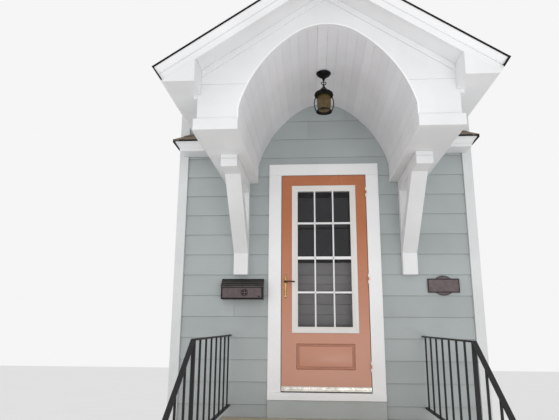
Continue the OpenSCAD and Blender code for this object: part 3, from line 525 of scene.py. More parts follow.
def shingle_courses(form, down, along, course, height_at, to_plan, lift, clip=None):
    """Tabs laid in courses, thick at their butts: down is the run from the top, and along the row's ends."""
    def raised(u, v, rise):
        x, y = to_plan(u, v)
        return (x, y, height_at(u) + rise)

    courses = max(1, round(down[1] / course))
    step = down[1] / courses
    for number in range(courses):
        top, butt = down[0] + number * step, down[0] + (number + 1) * step + 0.004 * (number + 1 < courses)
        start = along[0] - (TAB_W / 2 if number % 2 else 0)
        while start < along[1]:
            low, high = max(start + TAB_GAP, along[0]), min(start + TAB_W - TAB_GAP, along[1])
            start += TAB_W
            butt_here = butt - dice.uniform(0, 0.003)
            tone = dice.random()
            if high - low < 0.01:
                continue
            outline = [(top, low), (butt_here, low), (butt_here, high), (top, high)]
            if clip:
                outline = clipped(outline, clip)
            if len(outline) < 3:
                continue
            fall = butt_here - top
            form.loft([[raised(u, v, 0.0) for u, v in outline],
                       [raised(u, v, TOP_T + lift * (u - top) / fall) for u, v in outline]], tone)


# Camera: the photograph's own view
EYE = Vector((-0.117, -4.843, 1.512))
YAW, LIFT, ROLL = math.radians(3.753), math.radians(12.902), math.radians(0.322)
FOCAL_PX, IMAGE_W, SENSOR = 503.9, 559, 36.0
ahead = Vector((-math.sin(YAW) * math.cos(LIFT), math.cos(YAW) * math.cos(LIFT), math.sin(LIFT)))
level = Vector((math.cos(YAW), math.sin(YAW), 0))
upward = level.cross(ahead)
right = math.cos(ROLL) * level + math.sin(ROLL) * upward
upper = math.cos(ROLL) * upward - math.sin(ROLL) * level
lens = bpy.data.cameras.new("photo_camera")
lens.sensor_width = SENSOR
lens.lens = FOCAL_PX * SENSOR / IMAGE_W
camera = bpy.data.objects.new("photo_camera", lens)
camera.matrix_world = Matrix.Translation(EYE) @ Matrix((right, upper, -ahead)).transposed().to_4x4()
scene.collection.objects.link(camera)
scene.camera = camera

# Wall: clapboards in tapered courses, with their butts on the photograph's lines
EXPOSURE = 0.1957
BUTT_Z = 1.9853
BUTT_T, HEAD_T = 0.0125, 0.003
BOARD_L, BOARD_MIN = 3.66, 0.3
CORNER_W, HALF_JOINT = 0.09, 0.0008
corner_x = CORNER_HIGH.x - CORNER_W
landing_x = LANDING_HIGH.x


def clapboard(form, low_x, high_x, low, high, butt_low):
    """One board: thick at its butt and thin where the next course laps it."""
    def face_at(z):
        return -(BUTT_T - (BUTT_T - HEAD_T) * (z - butt_low) / EXPOSURE)

    outline = [(0.0, low), (face_at(low) + 0.0015, low), (face_at(low), low + 0.0015), (face_at(high), high),
               (0.0, high)]
    form.prism(outline, "x", low_x, high_x)


siding = Form()
course_z = BUTT_Z + math.floor((WALL_LOW.z - BUTT_Z) / EXPOSURE) * EXPOSURE
while course_z < WALL_HIGH.z:
    low, high = max(course_z, WALL_LOW.z), min(course_z + EXPOSURE, WALL_HIGH.z)
    if low < LANDING_HIGH.z:
        runs = [(-corner_x, -landing_x), (landing_x, corner_x)]
        if high > LANDING_HIGH.z:
            for low_x, high_x in ((-landing_x, -CASING_HIGH.x), (CASING_HIGH.x, landing_x)):
                clapboard(siding, low_x, high_x, LANDING_HIGH.z, high, course_z)
    elif low < CASING_HIGH.z:
        runs = [(-corner_x, -CASING_HIGH.x), (CASING_HIGH.x, corner_x)]
        if high > CASING_HIGH.z:
            clapboard(siding, -CASING_HIGH.x, CASING_HIGH.x, CASING_HIGH.z, high, course_z)
    else:
        runs = [(-corner_x, corner_x)]
    joint = -corner_x + BOARD_L * dice.uniform(0.1, 0.9)
    for low_x, high_x in runs:
        if low_x + BOARD_MIN < joint < high_x - BOARD_MIN:
            clapboard(siding, low_x, joint - HALF_JOINT, low, high, course_z)
            clapboard(siding, joint + HALF_JOINT, high_x, low, high, course_z)
        else:
            clapboard(siding, low_x, high_x, low, high, course_z)
    course_z += EXPOSURE
siding.piece("clapboards", SIDING, slot="siding", ease=0)

for node in ("wall_sides", "wall_centre"):
    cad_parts[node].data.materials.clear()
    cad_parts[node].data.materials.append(WALL)

eased_node("foundation", PARGING, "foundation", ease=0.004)
eased_node("corner_boards", CORNER_WHITE_PAINTED_SHADE, "trim")
eased_node("door_frame", LITE_PAINT, "trim")
eased_node("door_sill", CASING_WHITE_PAINTED_LIGHT, "trim", ease=0.004)
eased_node("riser_board", RISER_PAINT, "riser")
eased_node("door_casing", CASING_WHITE_PAINTED_LIGHT, "trim", ease=0.0025, name="door_casing_boards")

# Pent roofs: a moulded cornice hipped at its end, three courses of shingles and a drip edge
PENT_OUT, PENT_REACH, PENT_SLOPE = 0.200, 0.250, 0.76
PENT_COURSE, HEADLAP = 0.083, 0.004
HIP_CAP_W, HOOD_GAP = 0.055, 0.15
HIP_X, PENT_INNER = PENT_HIGH.x - PENT_REACH, BEAM_HIGH.x + HOOD_GAP
FASCIA_RISE, EDGE_RISE, SHINGLE_SEAT = 0.030, 0.089, 0.002
PENT_SOFFIT, PENT_FASCIA, PENT_EDGE = PENT_LOW.z, PENT_LOW.z + FASCIA_RISE, PENT_LOW.z + EDGE_RISE
pent_top = PENT_EDGE + PENT_REACH * PENT_SLOPE
CROWN = [(0.206, 0.000), (0.207, 0.006), (0.211, 0.010), (0.214, 0.018), (0.220, 0.030), (0.230, 0.041),
         (0.239, 0.047), (0.244, 0.050), (0.2455, 0.054), (0.250, 0.056), (0.250, 0.059)]


def pent_ring(side, out, z):
    return [(side * PENT_INNER, 0, z), (side * PENT_INNER, -out, z), (side * (HIP_X + out), -out, z),
            (side * (HIP_X + out), 0, z)]


cornice = Form()
for side in SIDES:
    rings = [(PENT_OUT - 0.004, PENT_SOFFIT), (PENT_OUT, PENT_SOFFIT + 0.004), (PENT_OUT, PENT_FASCIA)]
    rings += [(out, PENT_FASCIA + rise) for out, rise in CROWN]
    rings += [(0.001, PENT_EDGE + (PENT_REACH - 0.001) * PENT_SLOPE)]
    cornice.loft([pent_ring(side, out, z) for out, z in rings], 0.5)
cornice.piece("pent_cornice_mouldings", TRIM_X, slot="trim", replaces=("pent_cornices",), ease=0.001)


def pent_height(u):
    return pent_top - u * PENT_SLOPE + SHINGLE_SEAT


pent_shingles, pent_drip = Form(), Form()
for side in SIDES:
    run = (HEADLAP, PENT_REACH + 0.002)
    shingle_courses(pent_shingles, run, (PENT_INNER, PENT_HIGH.x), PENT_COURSE, pent_height,
                    lambda u, v: (side * v, -u), 0.007, lambda u, v: HIP_X + u - v)
    shingle_courses(pent_shingles, run, (0.0, PENT_REACH), PENT_COURSE, pent_height,
                    lambda u, v: (side * (HIP_X + u), -v), 0.007, lambda u, v: u - v)
    for step in range(3):
        rings = []
        for t, rise in ((HEADLAP + PENT_COURSE * step, 0.008),
                        (HEADLAP + PENT_COURSE * (step + 1) + 0.006, 0.013)):
            base = pent_height(t)
            x, w = HIP_X + t, min(HIP_CAP_W, t)
            rings.append([(side * (x - w), -t, base), (side * (x - w), -t, base + rise),
                          (side * x, -t, base + rise + 0.004), (side * x, -(t - w), base + rise),
                          (side * x, -(t - w), base)])
        pent_shingles.loft(rings)
    drip = shifted([(-0.006, -0.003), (0.005, -0.006), (0.005, 0.012), (-0.02, 0.018)], PENT_REACH, PENT_EDGE)
    pent_drip.loft([[(side * PENT_INNER, -out, z) for out, z in drip],
                    [(side * (HIP_X + out), -out, z) for out, z in drip],
                    [(side * (HIP_X + out), 0, z) for out, z in drip]], 0.5)
    end = [(-0.013, -0.016), (0.008, -0.016), (0.009, 0.014), (-0.004, 0.019)]
    end_x = side * (HIP_X + PENT_REACH)
    pent_drip.prism([(end_x + side * x, PENT_EDGE + z) for x, z in end], "y", -PENT_REACH - 0.004, 0, 0.4)
pent_shingles.piece("pent_shingle_courses", PENT_SHINGLES, slot="pent_shingles", replaces=("pent_roofs",),
                    ease=0)
pent_drip.piece("pent_drip_edge", DRIP_METAL, slot="pent_shingles", ease=0.0006)

# Vault: flat tongue-and-groove planks from the front of the hood to the wall, on a three-centred arch
ARCH_X, ARCH_RISE = 0.6465, 0.657
CROWN_R, CROWN_ANGLE = 0.415, math.radians(34)
crown_centre = Vector((0, SPRING_Z + ARCH_RISE - CROWN_R))
crown_out = Vector((math.sin(CROWN_ANGLE), math.cos(CROWN_ANGLE)))
arcs_meet = crown_centre + CROWN_R * crown_out
haunch_chord = Vector((ARCH_X, SPRING_Z)) - arcs_meet
HAUNCH_R = -haunch_chord.length_squared / (2 * crown_out.dot(haunch_chord))
haunch_centre = arcs_meet - HAUNCH_R * crown_out
haunch_start = math.asin((SPRING_Z - haunch_centre.y) / HAUNCH_R)
HAUNCH_L = HAUNCH_R * (math.pi / 2 - CROWN_ANGLE - haunch_start)
ARCH_L = 2 * (HAUNCH_L + CROWN_R * CROWN_ANGLE)
PLANK_T, PLANK_W = 0.014, 0.0793
FIRST_SEAM, LAST_SEAM = 0.008, 1.925
seams = [FIRST_SEAM + PLANK_W * k for k in range(24)] + [LAST_SEAM]
SHUT, OPEN_SEAM = 0.0005, 0.0016
GROOVE_D = 0.002


def lining_point(along):
    """A point of the lining's inner face, by its way from the right spring: on the arch or a beam's cheek."""
    if along > ARCH_L / 2:
        mirrored = lining_point(ARCH_L - along)
        return Vector((-mirrored.x, mirrored.y))
    if along < 0:
        return Vector((ARCH_X, SPRING_Z + along))
    if along < HAUNCH_L:
        centre, radius, turn = haunch_centre, HAUNCH_R, haunch_start + along / HAUNCH_R
    else:
        centre, radius = crown_centre, CROWN_R
        turn = math.pi / 2 - CROWN_ANGLE + (along - HAUNCH_L) / CROWN_R
    return centre + radius * Vector((math.cos(turn), math.sin(turn)))


def plank(form, start, end, front, back, front_gaps=(SHUT, SHUT), gaps=(SHUT, SHUT)):
    """A board between two seams. Each half gap tapers from the board's front end to its set width."""
    a, b = lining_point(start), lining_point(end)
    run = (b - a).normalized()
    out = Vector((run.y, -run.x))
    rings = []
    shut_y = front + dice.uniform(0.10, 0.16)
    for y, (low_gap, high_gap) in ((front, front_gaps), (shut_y, gaps), (back, gaps)):
        near, far = a + run * SHUT / 2, b - run * SHUT / 2
        outline = [a + run * low_gap, b - run * high_gap, far + out * GROOVE_D, far + out * PLANK_T,
                   near + out * PLANK_T, near + out * GROOVE_D]
        rings.append([(point.x, y, point.y) for point in outline])
    form.loft(rings)


lining = Form()
seam_gaps = [SHUT] * (len(seams) - 2) + [OPEN_SEAM] * 2
front_gaps = [max(gap, dice.choice((SHUT, SHUT, 0.0010, OPEN_SEAM))) for gap in seam_gaps]
for k in range(len(seams) - 1):
    plank(lining, seams[k], seams[k + 1], BEAM_LOW.y, 0, front_gaps[k:k + 2], seam_gaps[k:k + 2])
lining.piece("vault_planks", VAULT_PAINT, slot="vault", replaces=("vault",), ease=0)

# Beams: cheek boards inside, a broad board below and a board up the outer side, on behind the caps
RIGHT_JOINT, BOARD_T, HIDDEN_RISE = 2.99, 0.02, 0.3
beams = Form()
plank(beams, BEAM_LOW.z - SPRING_Z, RIGHT_JOINT - SPRING_Z, BEAM_LOW.y, 0)
plank(beams, RIGHT_JOINT - SPRING_Z, FIRST_SEAM, BEAM_LOW.y, 0)
left_x, left_z = lining_point(LAST_SEAM)
beams.prism([(-ARCH_X, BEAM_LOW.z), (-ARCH_X, SPRING_Z), (left_x, left_z - OPEN_SEAM),
             (left_x - PLANK_T, left_z - OPEN_SEAM), (-ARCH_X - PLANK_T, SPRING_Z),
             (-ARCH_X - PLANK_T, BEAM_LOW.z)], "y", BEAM_LOW.y, 0)
outer_x = BEAM_HIGH.x


def between(side, low_x, high_x):
    """The two ends of a run, mirrored for the left side."""
    return sorted((side * low_x, side * high_x))


for side in SIDES:
    for low_x, high_x, low_z, high_z in (
            (ARCH_X + PLANK_T, outer_x, BEAM_LOW.z, BEAM_LOW.z + BOARD_T),
            (outer_x - BOARD_T, outer_x, BEAM_LOW.z + 0.021, CAP_TOP + HIDDEN_RISE)):
        low_x, high_x = between(side, low_x, high_x)
        beams.box((low_x, BEAM_LOW.y, low_z), (high_x, 0, high_z))
beams.piece("beam_boards", TRIM_Y, slot="trim", replaces=("hood_beams",), ease=0.0015)

# Gable: a leg at each side and a broad board over them, a bead along the arch, and the trim at its foot
SEAM_Z, SEAM_GAP = 3.26, 0.0004
gable = Form()
drop = ROOF_T / math.cos(PITCH)


def roof_under(x):
    return RIDGE_Z - x * math.tan(PITCH) - drop


seam_along = HAUNCH_R * (math.asin((SEAM_Z - haunch_centre.y) / HAUNCH_R) - haunch_start)
for side in SIDES:
    leg = [(side * ARCH_X, BEAM_LOW.z), (side * outer_x, BEAM_LOW.z), (side * outer_x, SEAM_Z - SEAM_GAP)]
    leg += [(side * x, z) for x, z in curve_points(6, lambda t: lining_point(seam_along * (1 - t)))]
    gable.prism(leg, "y", GABLE_LOW.y, GABLE_HIGH.y, 0.45)
top = [(-outer_x, SEAM_Z + SEAM_GAP), (-outer_x, roof_under(outer_x)), (0, roof_under(0)),
       (outer_x, roof_under(outer_x)), (outer_x, SEAM_Z + SEAM_GAP)]
seam_along += 2 * SEAM_GAP
top += curve_points(60, lambda t: lining_point(seam_along + (ARCH_L - 2 * seam_along) * t))
gable.prism(top, "y", GABLE_LOW.y, GABLE_HIGH.y, 0.6)
gable.piece("gable_boards", TRIM_X, slot="trim", replaces=("gable_panel",), ease=0.0025)

BEAD_W, BEAD_OUT = 0.0125, 0.0035
BEAD_SECTION = ((0.0006, 0.001), (0.0006, -BEAD_OUT), (BEAD_W - 0.003, -BEAD_OUT), (BEAD_W, 0.001))
bead_start = CAP_TOP - SPRING_Z
arch_bead = Form()
rings = []
for k in range(97):
    along = bead_start + (ARCH_L - 2 * bead_start) * k / 96
    ahead = lining_point(along + 0.0005) - lining_point(along - 0.0005)
    outward = Vector((ahead.y, -ahead.x)).normalized()
    edge = [(lining_point(along) + outward * off, out) for off, out in BEAD_SECTION]
    rings.append([(point.x, GABLE_LOW.y + out, point.y) for point, out in edge])
arch_bead.loft(rings, 0.9)
arch_bead.piece("gable_arch_bead", CASING_WHITE_PAINTED_LIGHT, slot="trim", ease=0)

eased_node("beam_caps", TRIM_X, "trim", name="beam_cap_boards")
FILLET = [(0.002, 0.0), (-0.007, 0.0), (-0.007, 0.012), (-0.002, 0.018), (0.002, 0.018)]
fillets = Form()
for side in SIDES:
    low_x, high_x = between(side, ARCH_X + 0.001, outer_x)
    fillets.prism(shifted(FILLET, GABLE_LOW.y, CAP_TOP - 0.001), "x", low_x, high_x, 0.8)
fillets.piece("gable_foot_fillets", TRIM_X, slot="trim", ease=0.001)

eased_node("frieze", TRIM_X, "trim")
eased_node("rake_soffit", TRIM_Y, "trim")
eased_node("eave_boxes", TRIM_X, "trim")
ARM_W, ARM_TOP_T, ARM_GAP = 0.136, 0.036, 0.0006
arm_joint = ARM_HIGH.z - ARM_TOP_T
arms = Form()
for side in SIDES:
    low_x, high_x = between(side, ARM_HIGH.x - ARM_W, ARM_HIGH.x)
    arms.box((low_x, ARM_LOW.y, ARM_LOW.z), (high_x, 0, arm_joint - ARM_GAP), 0.5)
    arms.box((low_x, ARM_LOW.y, arm_joint + ARM_GAP), (high_x, 0, ARM_HIGH.z), 0.7)
arms.piece("bracket_arm_timbers", TRIM_Y, slot="trim", replaces=("bracket_arms",), ease=0.003)
eased_node("bracket_posts", TRIM_Z, "trim", ease=0.003)
eased_node("bracket_braces", TRIM_Z, "trim", ease=0.003)

# Rake boards: a fascia below and a crown moulding over it
RAKE_DROP, CROWN_D = 0.126, 0.072
RAKE_DEPTH = ROOF_T + RAKE_DROP * math.cos(PITCH)
rake_back, fascia_y, crown_y = RAKE_HIGH.y, RAKE_LOW.y + 0.007, RAKE_LOW.y - 0.007
CROWN_SECTION = [(ROOF_T, 0.0025), (0.0128, 0.0025), (0.0128, 0.0), (0.026, 0.0), (0.029, 0.002),
                 (0.040, 0.0045), (0.054, 0.0095), (0.060, 0.0125), (0.064, 0.009), (CROWN_D, 0.009)]
crown = [(ROOF_T, rake_back), *shifted(CROWN_SECTION, 0.0, crown_y), (CROWN_D, rake_back)]
fascia = [(CROWN_D + 0.0005, rake_back), (CROWN_D + 0.0005, fascia_y), (RAKE_DEPTH, fascia_y),
          (RAKE_DEPTH, rake_back)]
rake_fascia, rake_crown = Form(), Form()
for side in SIDES:
    rake_band(rake_crown, side, crown, tone=0.9)
    rake_band(rake_fascia, side, fascia, tone=0.7)
rake_fascia.piece("rake_fascia", TRIM_X, slot="trim", replaces=("rake_boards",), ease=0.001)
rake_crown.piece("rake_crown", TRIM_X, slot="trim", replaces=("rake_boards",), ease=0.0006)

# Hood roof: a deck, shingles in courses, ridge caps, and black metal along its edges
deck, drips, hood_shingles = Form(), Form(), Form()
DRIP_H, EAVE_DRIP_D, HOOD_COURSE = 0.0125, 0.016, 0.117
roof_front = ROOF_LOW.y
drip_y = roof_front - 0.003
deck_section = [(0.007, roof_front + 0.005), (0.007, 0), (ROOF_T, 0), (ROOF_T, roof_front + 0.005)]
drip_section = [(0.004, roof_front + 0.04), (0.002, roof_front + 0.002), (0, roof_front), (0, drip_y),
                (DRIP_H, drip_y), (DRIP_H, roof_front + 0.0005), (0.006, roof_front + 0.0005),
                (0.006, roof_front + 0.04)]


def slope_height(u):
    return RIDGE_Z - u * math.tan(PITCH) - 0.0065 / math.cos(PITCH)


for side in SIDES:
    rake_band(deck, side, deck_section, tone=0.2)
    rake_band(drips, side, drip_section, tone=0.5)
    edge = shifted([(-0.05, 0.0045), (-0.001, 0.0045), (-0.001, EAVE_DRIP_D), (-0.003, EAVE_DRIP_D),
                    (-0.003, 0.0065), (-0.05, 0.0065)], SLOPE_L)
    drips.loft([[on_roof(side, along, depth, y) for along, depth in edge] for y in (drip_y, -0.001)], 0.5)
    low_d, width = (0.130, 0.0095) if side < 0 else (0.086, 0.015)
    ragged = [(SLOPE_L + 0.0005, low_d), (SLOPE_L + 0.0005, 0), (SLOPE_L - width, 0)]
    for k in range(7):
        torn = dice.uniform(-0.003, 0.004) if side > 0 else 0
        ragged.append((SLOPE_L - width - torn, 0.012 + (low_d - 0.016) * k / 6))
    drips.loft([[on_roof(side, along, depth, y) for along, depth in ragged]
                for y in (drip_y - 0.002, crown_y + 0.002)], 0.5)
    shingle_courses(hood_shingles, (HEADLAP, EAVE_X - 0.008), (roof_front + 0.001, 0), HOOD_COURSE,
                    slope_height, lambda u, v: (side * u, v), 0.006)
RIDGE_CAP_L, RIDGE_STEP, WING = 0.16, 0.125, 0.115
wing_z, peak_z = RIDGE_Z - 0.006 - WING * math.tan(PITCH), RIDGE_Z - 0.006
y = roof_front + 0.001
while y < -0.02:
    rings = []
    for place_y, rise in ((y, 0.010), (min(y + RIDGE_CAP_L, 0), 0.004)):
        section = [(-WING, wing_z + rise), (0, peak_z + rise + 0.003), (WING, wing_z + rise),
                   (WING, wing_z + rise - 0.005), (0, peak_z + rise - 0.004), (-WING, wing_z + rise - 0.005)]
        rings.append([(x, place_y, z) for x, z in section])
    hood_shingles.loft(rings)
    y += RIDGE_STEP
hood_shingles.piece("hood_shingle_courses", HOOD_SHINGLES, slot="roof", replaces=("hood_roof",), ease=0)
deck.piece("hood_roof_deck", DRIP_METAL, slot="roof", replaces=("hood_roof",), ease=0)
drips.piece("hood_drip_edge", DRIP_METAL, slot="roof", ease=0)

# Landing, steps and railings
for node in ("landing_slab", "landing_base", "step_top", "step_middle", "step_bottom"):
    eased_node(node, CONCRETE, "concrete", ease=0.007)

eased_node("landing_railings", IRON, "iron", ease=0.0012)
eased_node("stair_railings", IRON, "iron", ease=0.0012)

# Storm door: a leaf with one moulded panel, hinge halves, a glazed light with bars, and a sweep
eased_node("storm_glass", CLEAR, "door_glass", "storm_door", ease=0.0005)
leaf_x = -LEAF_LOW.x
face_y, back_y = -0.022, 0.013
PANEL = (-0.269, 1.119, 0.269, 1.349)
lite_hole = (LITE_LOW.x + 0.012, LITE_LOW.z + 0.012, LITE_HIGH.x - 0.012, LITE_HIGH.z - 0.012)
leaf = Form()
leaf.plate((-leaf_x, LEAF_LOW.z, leaf_x, LEAF_HIGH.z), [lite_hole, PANEL], face_y, back_y)
steps = [(0, 0), (0.0015, 0.0070), (0.0065, 0.0080), (0.0090, 0.0025), (0.0120, 0.0005), (0.0150, 0.0025),
         (0.0170, 0.0075), (0.0225, 0.0080), (0.0255, 0.0012), (0.028, 0.0002)]
moulding = [(inset + 0.0004, face_y + depth) for inset, depth in reversed(steps)]
moulding += [(inset + 0.0004, back_y - depth) for inset, depth in steps]
leaf.terrace((PANEL[0], PANEL[1]), (PANEL[2], PANEL[3]), moulding, tone=0.5)
KNUCKLE_R, HINGE_H, PIN_X, STORM_PIN_Y, INNER_PIN_Y = 0.006, 0.09, 0.412, -0.035, 0.167
MIDDLE_HINGE = 1.025
hinge_zs = [HINGES_LOW.z + HINGE_H / 2, SILL_HIGH.z + MIDDLE_HINGE, HINGES_HIGH.z - HINGE_H / 2]
leaf.piece("storm_leaf", DOOR_PAINT, "storm_door", "door_paint", ("storm_door",), ease=0.0018)


def door_hinge_halves(form, y, face):
    """The knuckle that a door carries at each hinge, with its web and its plate on the door's face."""
    out = 0.002 if y > face else -0.002
    for z in hinge_zs:
        low, high = z - HINGE_H / 6 + 0.0005, z + HINGE_H / 6 - 0.0005
        form.lathe([(KNUCKLE_R, low), (KNUCKLE_R, high)], (PIN_X, y, 0), tone=0.5, turns=20)
        form.box((0.386, min(face, face + out), low), (0.4085, max(face, face + out), high), 0.5)
        form.box((0.4065, min(y, face), low), (0.4085, max(y, face), high), 0.5)


storm_hinges = Form()
door_hinge_halves(storm_hinges, STORM_PIN_Y, face_y)
storm_hinges.piece("storm_hinge_halves", DOOR_PAINT, "storm_door", "hinges", ("storm_door",), ease=0.0004)
eased_node("door_hinges", CASING_WHITE_PAINTED_LIGHT, "hinges", ease=0.0004)

LITE_MEMBER = 0.056
OUTER_MOULDING = [(0, -0.022), (0, -0.0275), (0.003, -0.030), (0.026, -0.030), (0.029, -0.0285),
                  (0.031, -0.0255), (0.036, -0.0245), (0.041, -0.0235), (0.046, -0.019), (0.052, -0.0165),
                  (LITE_MEMBER, -0.0155), (LITE_MEMBER, -0.0078), (0.020, -0.0078), (0.012, -0.022)]
INNER_MOULDING = [(0, 0.013), (0, 0.0155), (0.002, 0.017), (0.034, 0.017), (0.040, 0.013),
                  (LITE_MEMBER, 0.008), (LITE_MEMBER, -0.0012), (0.020, -0.0012), (0.012, 0.013)]
lite = Form()
for moulding in (OUTER_MOULDING, INNER_MOULDING):
    lite.frame((LITE_LOW.x, LITE_LOW.z), (LITE_HIGH.x, LITE_HIGH.z), moulding, tone=0.5)
glass_x = LITE_HIGH.x - LITE_MEMBER
glass_low, glass_high = LITE_LOW.z + LITE_MEMBER, LITE_HIGH.z - LITE_MEMBER


def bar(form, along, centre, width, ends, front=True):
    """A glazing bar with chamfered edges, on the glass's outer or inner face."""
    face, seat = (-0.0205, -0.0078) if front else (0.0065, -0.0012)
    half = width / 2
    lip = 0.0035 if front else -0.0035
    outline = [(-half, seat), (-half, face + lip), (-half + 0.003, face), (half - 0.003, face),
               (half, face + lip), (half, seat)]
    if along == "x":
        rings = [[(x, y, centre + v) for v, y in outline] for x in ends]
    else:
        rings = [[(centre + v, y, z) for v, y in outline] for z in ends]
    form.loft(rings, 0.6)


bars = Form()
for front in (True, False):
    for z, width in ((2.484, 0.018), (2.145, 0.028), (1.818, 0.018)):
        bar(bars, "x", z, width, (-glass_x, glass_x), front)
    for x in (-0.0885, 0.0885):
        bar(bars, "z", x, 0.014, (glass_low, glass_high), front)
bars.piece("storm_lite_bars", CASING_WHITE_PAINTED_LIGHT, "storm_door", "lite_frame", ease=0)
lite.piece("storm_lite_moulding", LITE_PAINT, "storm_door", "lite_frame", ("storm_lite_frame",), ease=0)

sweep = Form()
z0, z1 = SWEEP_LOW.z + 0.004, SWEEP_HIGH.z
profile = [(back_y, z0), (-0.0255, z0), (-0.026, z0 + 0.002), (-0.0245, z0 + 0.005), (-0.0245, z0 + 0.014),
           (-0.026, z0 + 0.016), (-0.0245, z0 + 0.018), (-0.0240, z1 - 0.016), (-0.026, z1 - 0.014),
           (-0.026, z1 - 0.003), (-0.0245, z1), (back_y, z1)]
sweep.prism(profile, "x", SWEEP_LOW.x, SWEEP_HIGH.x, 0.5)
sweep.piece("storm_sweep_plate", SATIN, "storm_door", "sweep", ("storm_sweep",), ease=0)
blade = Form()
blade.box((SWEEP_LOW.x + 0.002, -0.016, SWEEP_LOW.z), (SWEEP_HIGH.x - 0.002, 0.004, z0 + 0.001), 0.5)
blade.piece("storm_sweep_blade", RUBBER, "storm_door", "sweep", ease=0.0008)

# Handle: a long cast plate on both faces and its lever
spin_x = (PLATE_LOW.x + PLATE_HIGH.x) / 2
spin_z = (LEVER_LOW.z + LEVER_HIGH.z) / 2
PLATE_SHAPE = [(0.0735, 0.0012), (0.072, 0.0045), (0.068, 0.0066), (0.058, 0.0070), (0.034, 0.0072),
               (0.030, 0.0105), (0.027, 0.0138), (0.022, 0.0142), (0.016, 0.0122), (0.006, 0.0118),
               (-0.006, 0.0120), (-0.024, 0.0110), (-0.050, 0.0110), (-0.074, 0.0122), (-0.090, 0.0108),
               (-0.100, 0.0080), (-0.106, 0.0066), (-0.112, 0.0082), (-0.118, 0.0098), (-0.124, 0.0082),
               (-0.129, 0.0072), (-0.134, 0.0084), (-0.140, 0.0088), (-0.146, 0.0066), (-0.151, 0.0032),
               (-0.154, 0.0012)]
PLATE_BEADS = [(-0.140, 0.0080), (-0.118, 0.0062), (-0.094, 0.0050), (-0.072, 0.0072), (-0.048, 0.0056),
               (-0.026, 0.0072), (0.024, 0.0066), (0.042, 0.0046), (0.060, 0.0044)]
plates, plate_backs = Form(), Form()
for face, out in ((face_y, -1), (back_y, 1)):
    outline = [(spin_x - half, spin_z + z) for z, half in PLATE_SHAPE]
    outline += [(spin_x + half, spin_z + z) for z, half in reversed(PLATE_SHAPE)]
    for form, low_k, high_k, start, end in ((plate_backs, 1, 0.92, 0, 0.003),
                                            (plates, 0.74, 0.5, 0.0025, 0.0055)):
        rings = []
        for depth, k in ((start, low_k), (end - 0.001, low_k), (end, high_k)):
            rings.append([(spin_x + (x - spin_x) * k, face + out * depth,
                           spin_z + (z - spin_z) * (1 - (1 - k) * 0.15)) for x, z in outline])
        form.loft(rings, 0.5)
    for z, r in PLATE_BEADS:
        plates.lathe([(r, 0.0045), (r * 0.9, 0.0065), (r * 0.5, 0.0085), (0.0, 0.0092)],
                     (spin_x, face, spin_z + z), "y", 20, 0.8, way=out)
plates.piece("handle_plate_cast", BRASS, "storm_door", "brass", ("handle_plate",), ease=0)
plate_backs.piece("handle_plate_edge", DARK_BRASS, "storm_door", "brass", ease=0)
LEVER_BOSS = [(0.0, 0.0), (0.0125, 0.0), (0.0125, 0.006), (0.0095, 0.010), (0.0085, 0.030), (0.0105, 0.034),
              (0.0105, 0.040), (0.0, 0.0415)]
lever = Form()
for face, out in ((face_y - 0.0045, -1), (back_y + 0.0045, 1)):
    lever.lathe(LEVER_BOSS, (spin_x, face, spin_z), "y", 24, 0.5, way=out)
    reach = LEVER_HIGH.x - spin_x
    arm_y = face + out * 0.0355
    path = curve_points(14, lambda t: (spin_x + (reach - 0.004) * t, arm_y,
                                       spin_z + 0.0016 * math.sin(math.pi * t) - 0.002 * t * t))
    radii = curve_points(14, lambda t: 0.0092 - 0.0026 * math.sin(math.pi * min(t * 1.3, 1)) - 0.0012 * t)
    radii[-1] = 0.0035
    lever.tube(path, radii, 14, 0.5, flat=0.75)
lever.piece("lever_handles", DARK_BRASS, "lever", "brass", ("door_lever",), ease=0)

# Inner door: glazed above a broad rail, with grooved grey boards below that stand in as a painted reflection
# of clapboards
INNER_T, INNER_STILE, INNER_SKIN, BOTTOM_RAIL = 0.044, 0.12, 0.012, 0.2
inner_face_y, inner_back_y = INNER_LOW.y, INNER_LOW.y + INNER_T
inner_x = -INNER_LOW.x
SPLIT_LOW, SPLIT_HIGH = 2.005, 2.10
field_x = inner_x - INNER_STILE
lower_field = (-field_x, INNER_LOW.z + BOTTOM_RAIL, field_x, SPLIT_LOW)
upper_field = (-field_x, SPLIT_HIGH, field_x, INNER_HIGH.z - INNER_STILE)
inner = Form()
inner.plate((-inner_x, INNER_LOW.z, inner_x, INNER_HIGH.z), [lower_field, upper_field], inner_face_y,
            inner_back_y)
FIELD_BEAD = [(0.0002, 0.001), (0.004, 0.001), (0.012, 0.006), (0.016, 0.012), (0.0002, 0.012)]
for field in (lower_field, upper_field):
    for face, out in ((inner_face_y, 1), (inner_back_y, -1)):
        bead = [(inset, face + out * depth) for inset, depth in FIELD_BEAD]
        inner.frame(field[:2], field[2:], bead, tone=0.6)
BOARDS = 9
board_h = (lower_field[3] - lower_field[1]) / BOARDS
front, back = inner_face_y + INNER_SKIN, inner_back_y - INNER_SKIN
for k in range(BOARDS):
    low_z = lower_field[1] + k * board_h
    high_z = low_z + board_h
    board = [(front, low_z + 0.003), (front + 0.004, low_z), (back - 0.004, low_z), (back, low_z + 0.003),
             (back, high_z - 0.003), (back - 0.004, high_z), (front + 0.004, high_z), (front, high_z - 0.003)]
    inner.prism(board, "x", lower_field[0] + 0.001, lower_field[2] - 0.001)
inner.piece("inner_door_leaf", INNER_DOOR_PAINTED_REFLECTION, "inner_door", "inner_door", ("inner_door",), ease=0.0015)
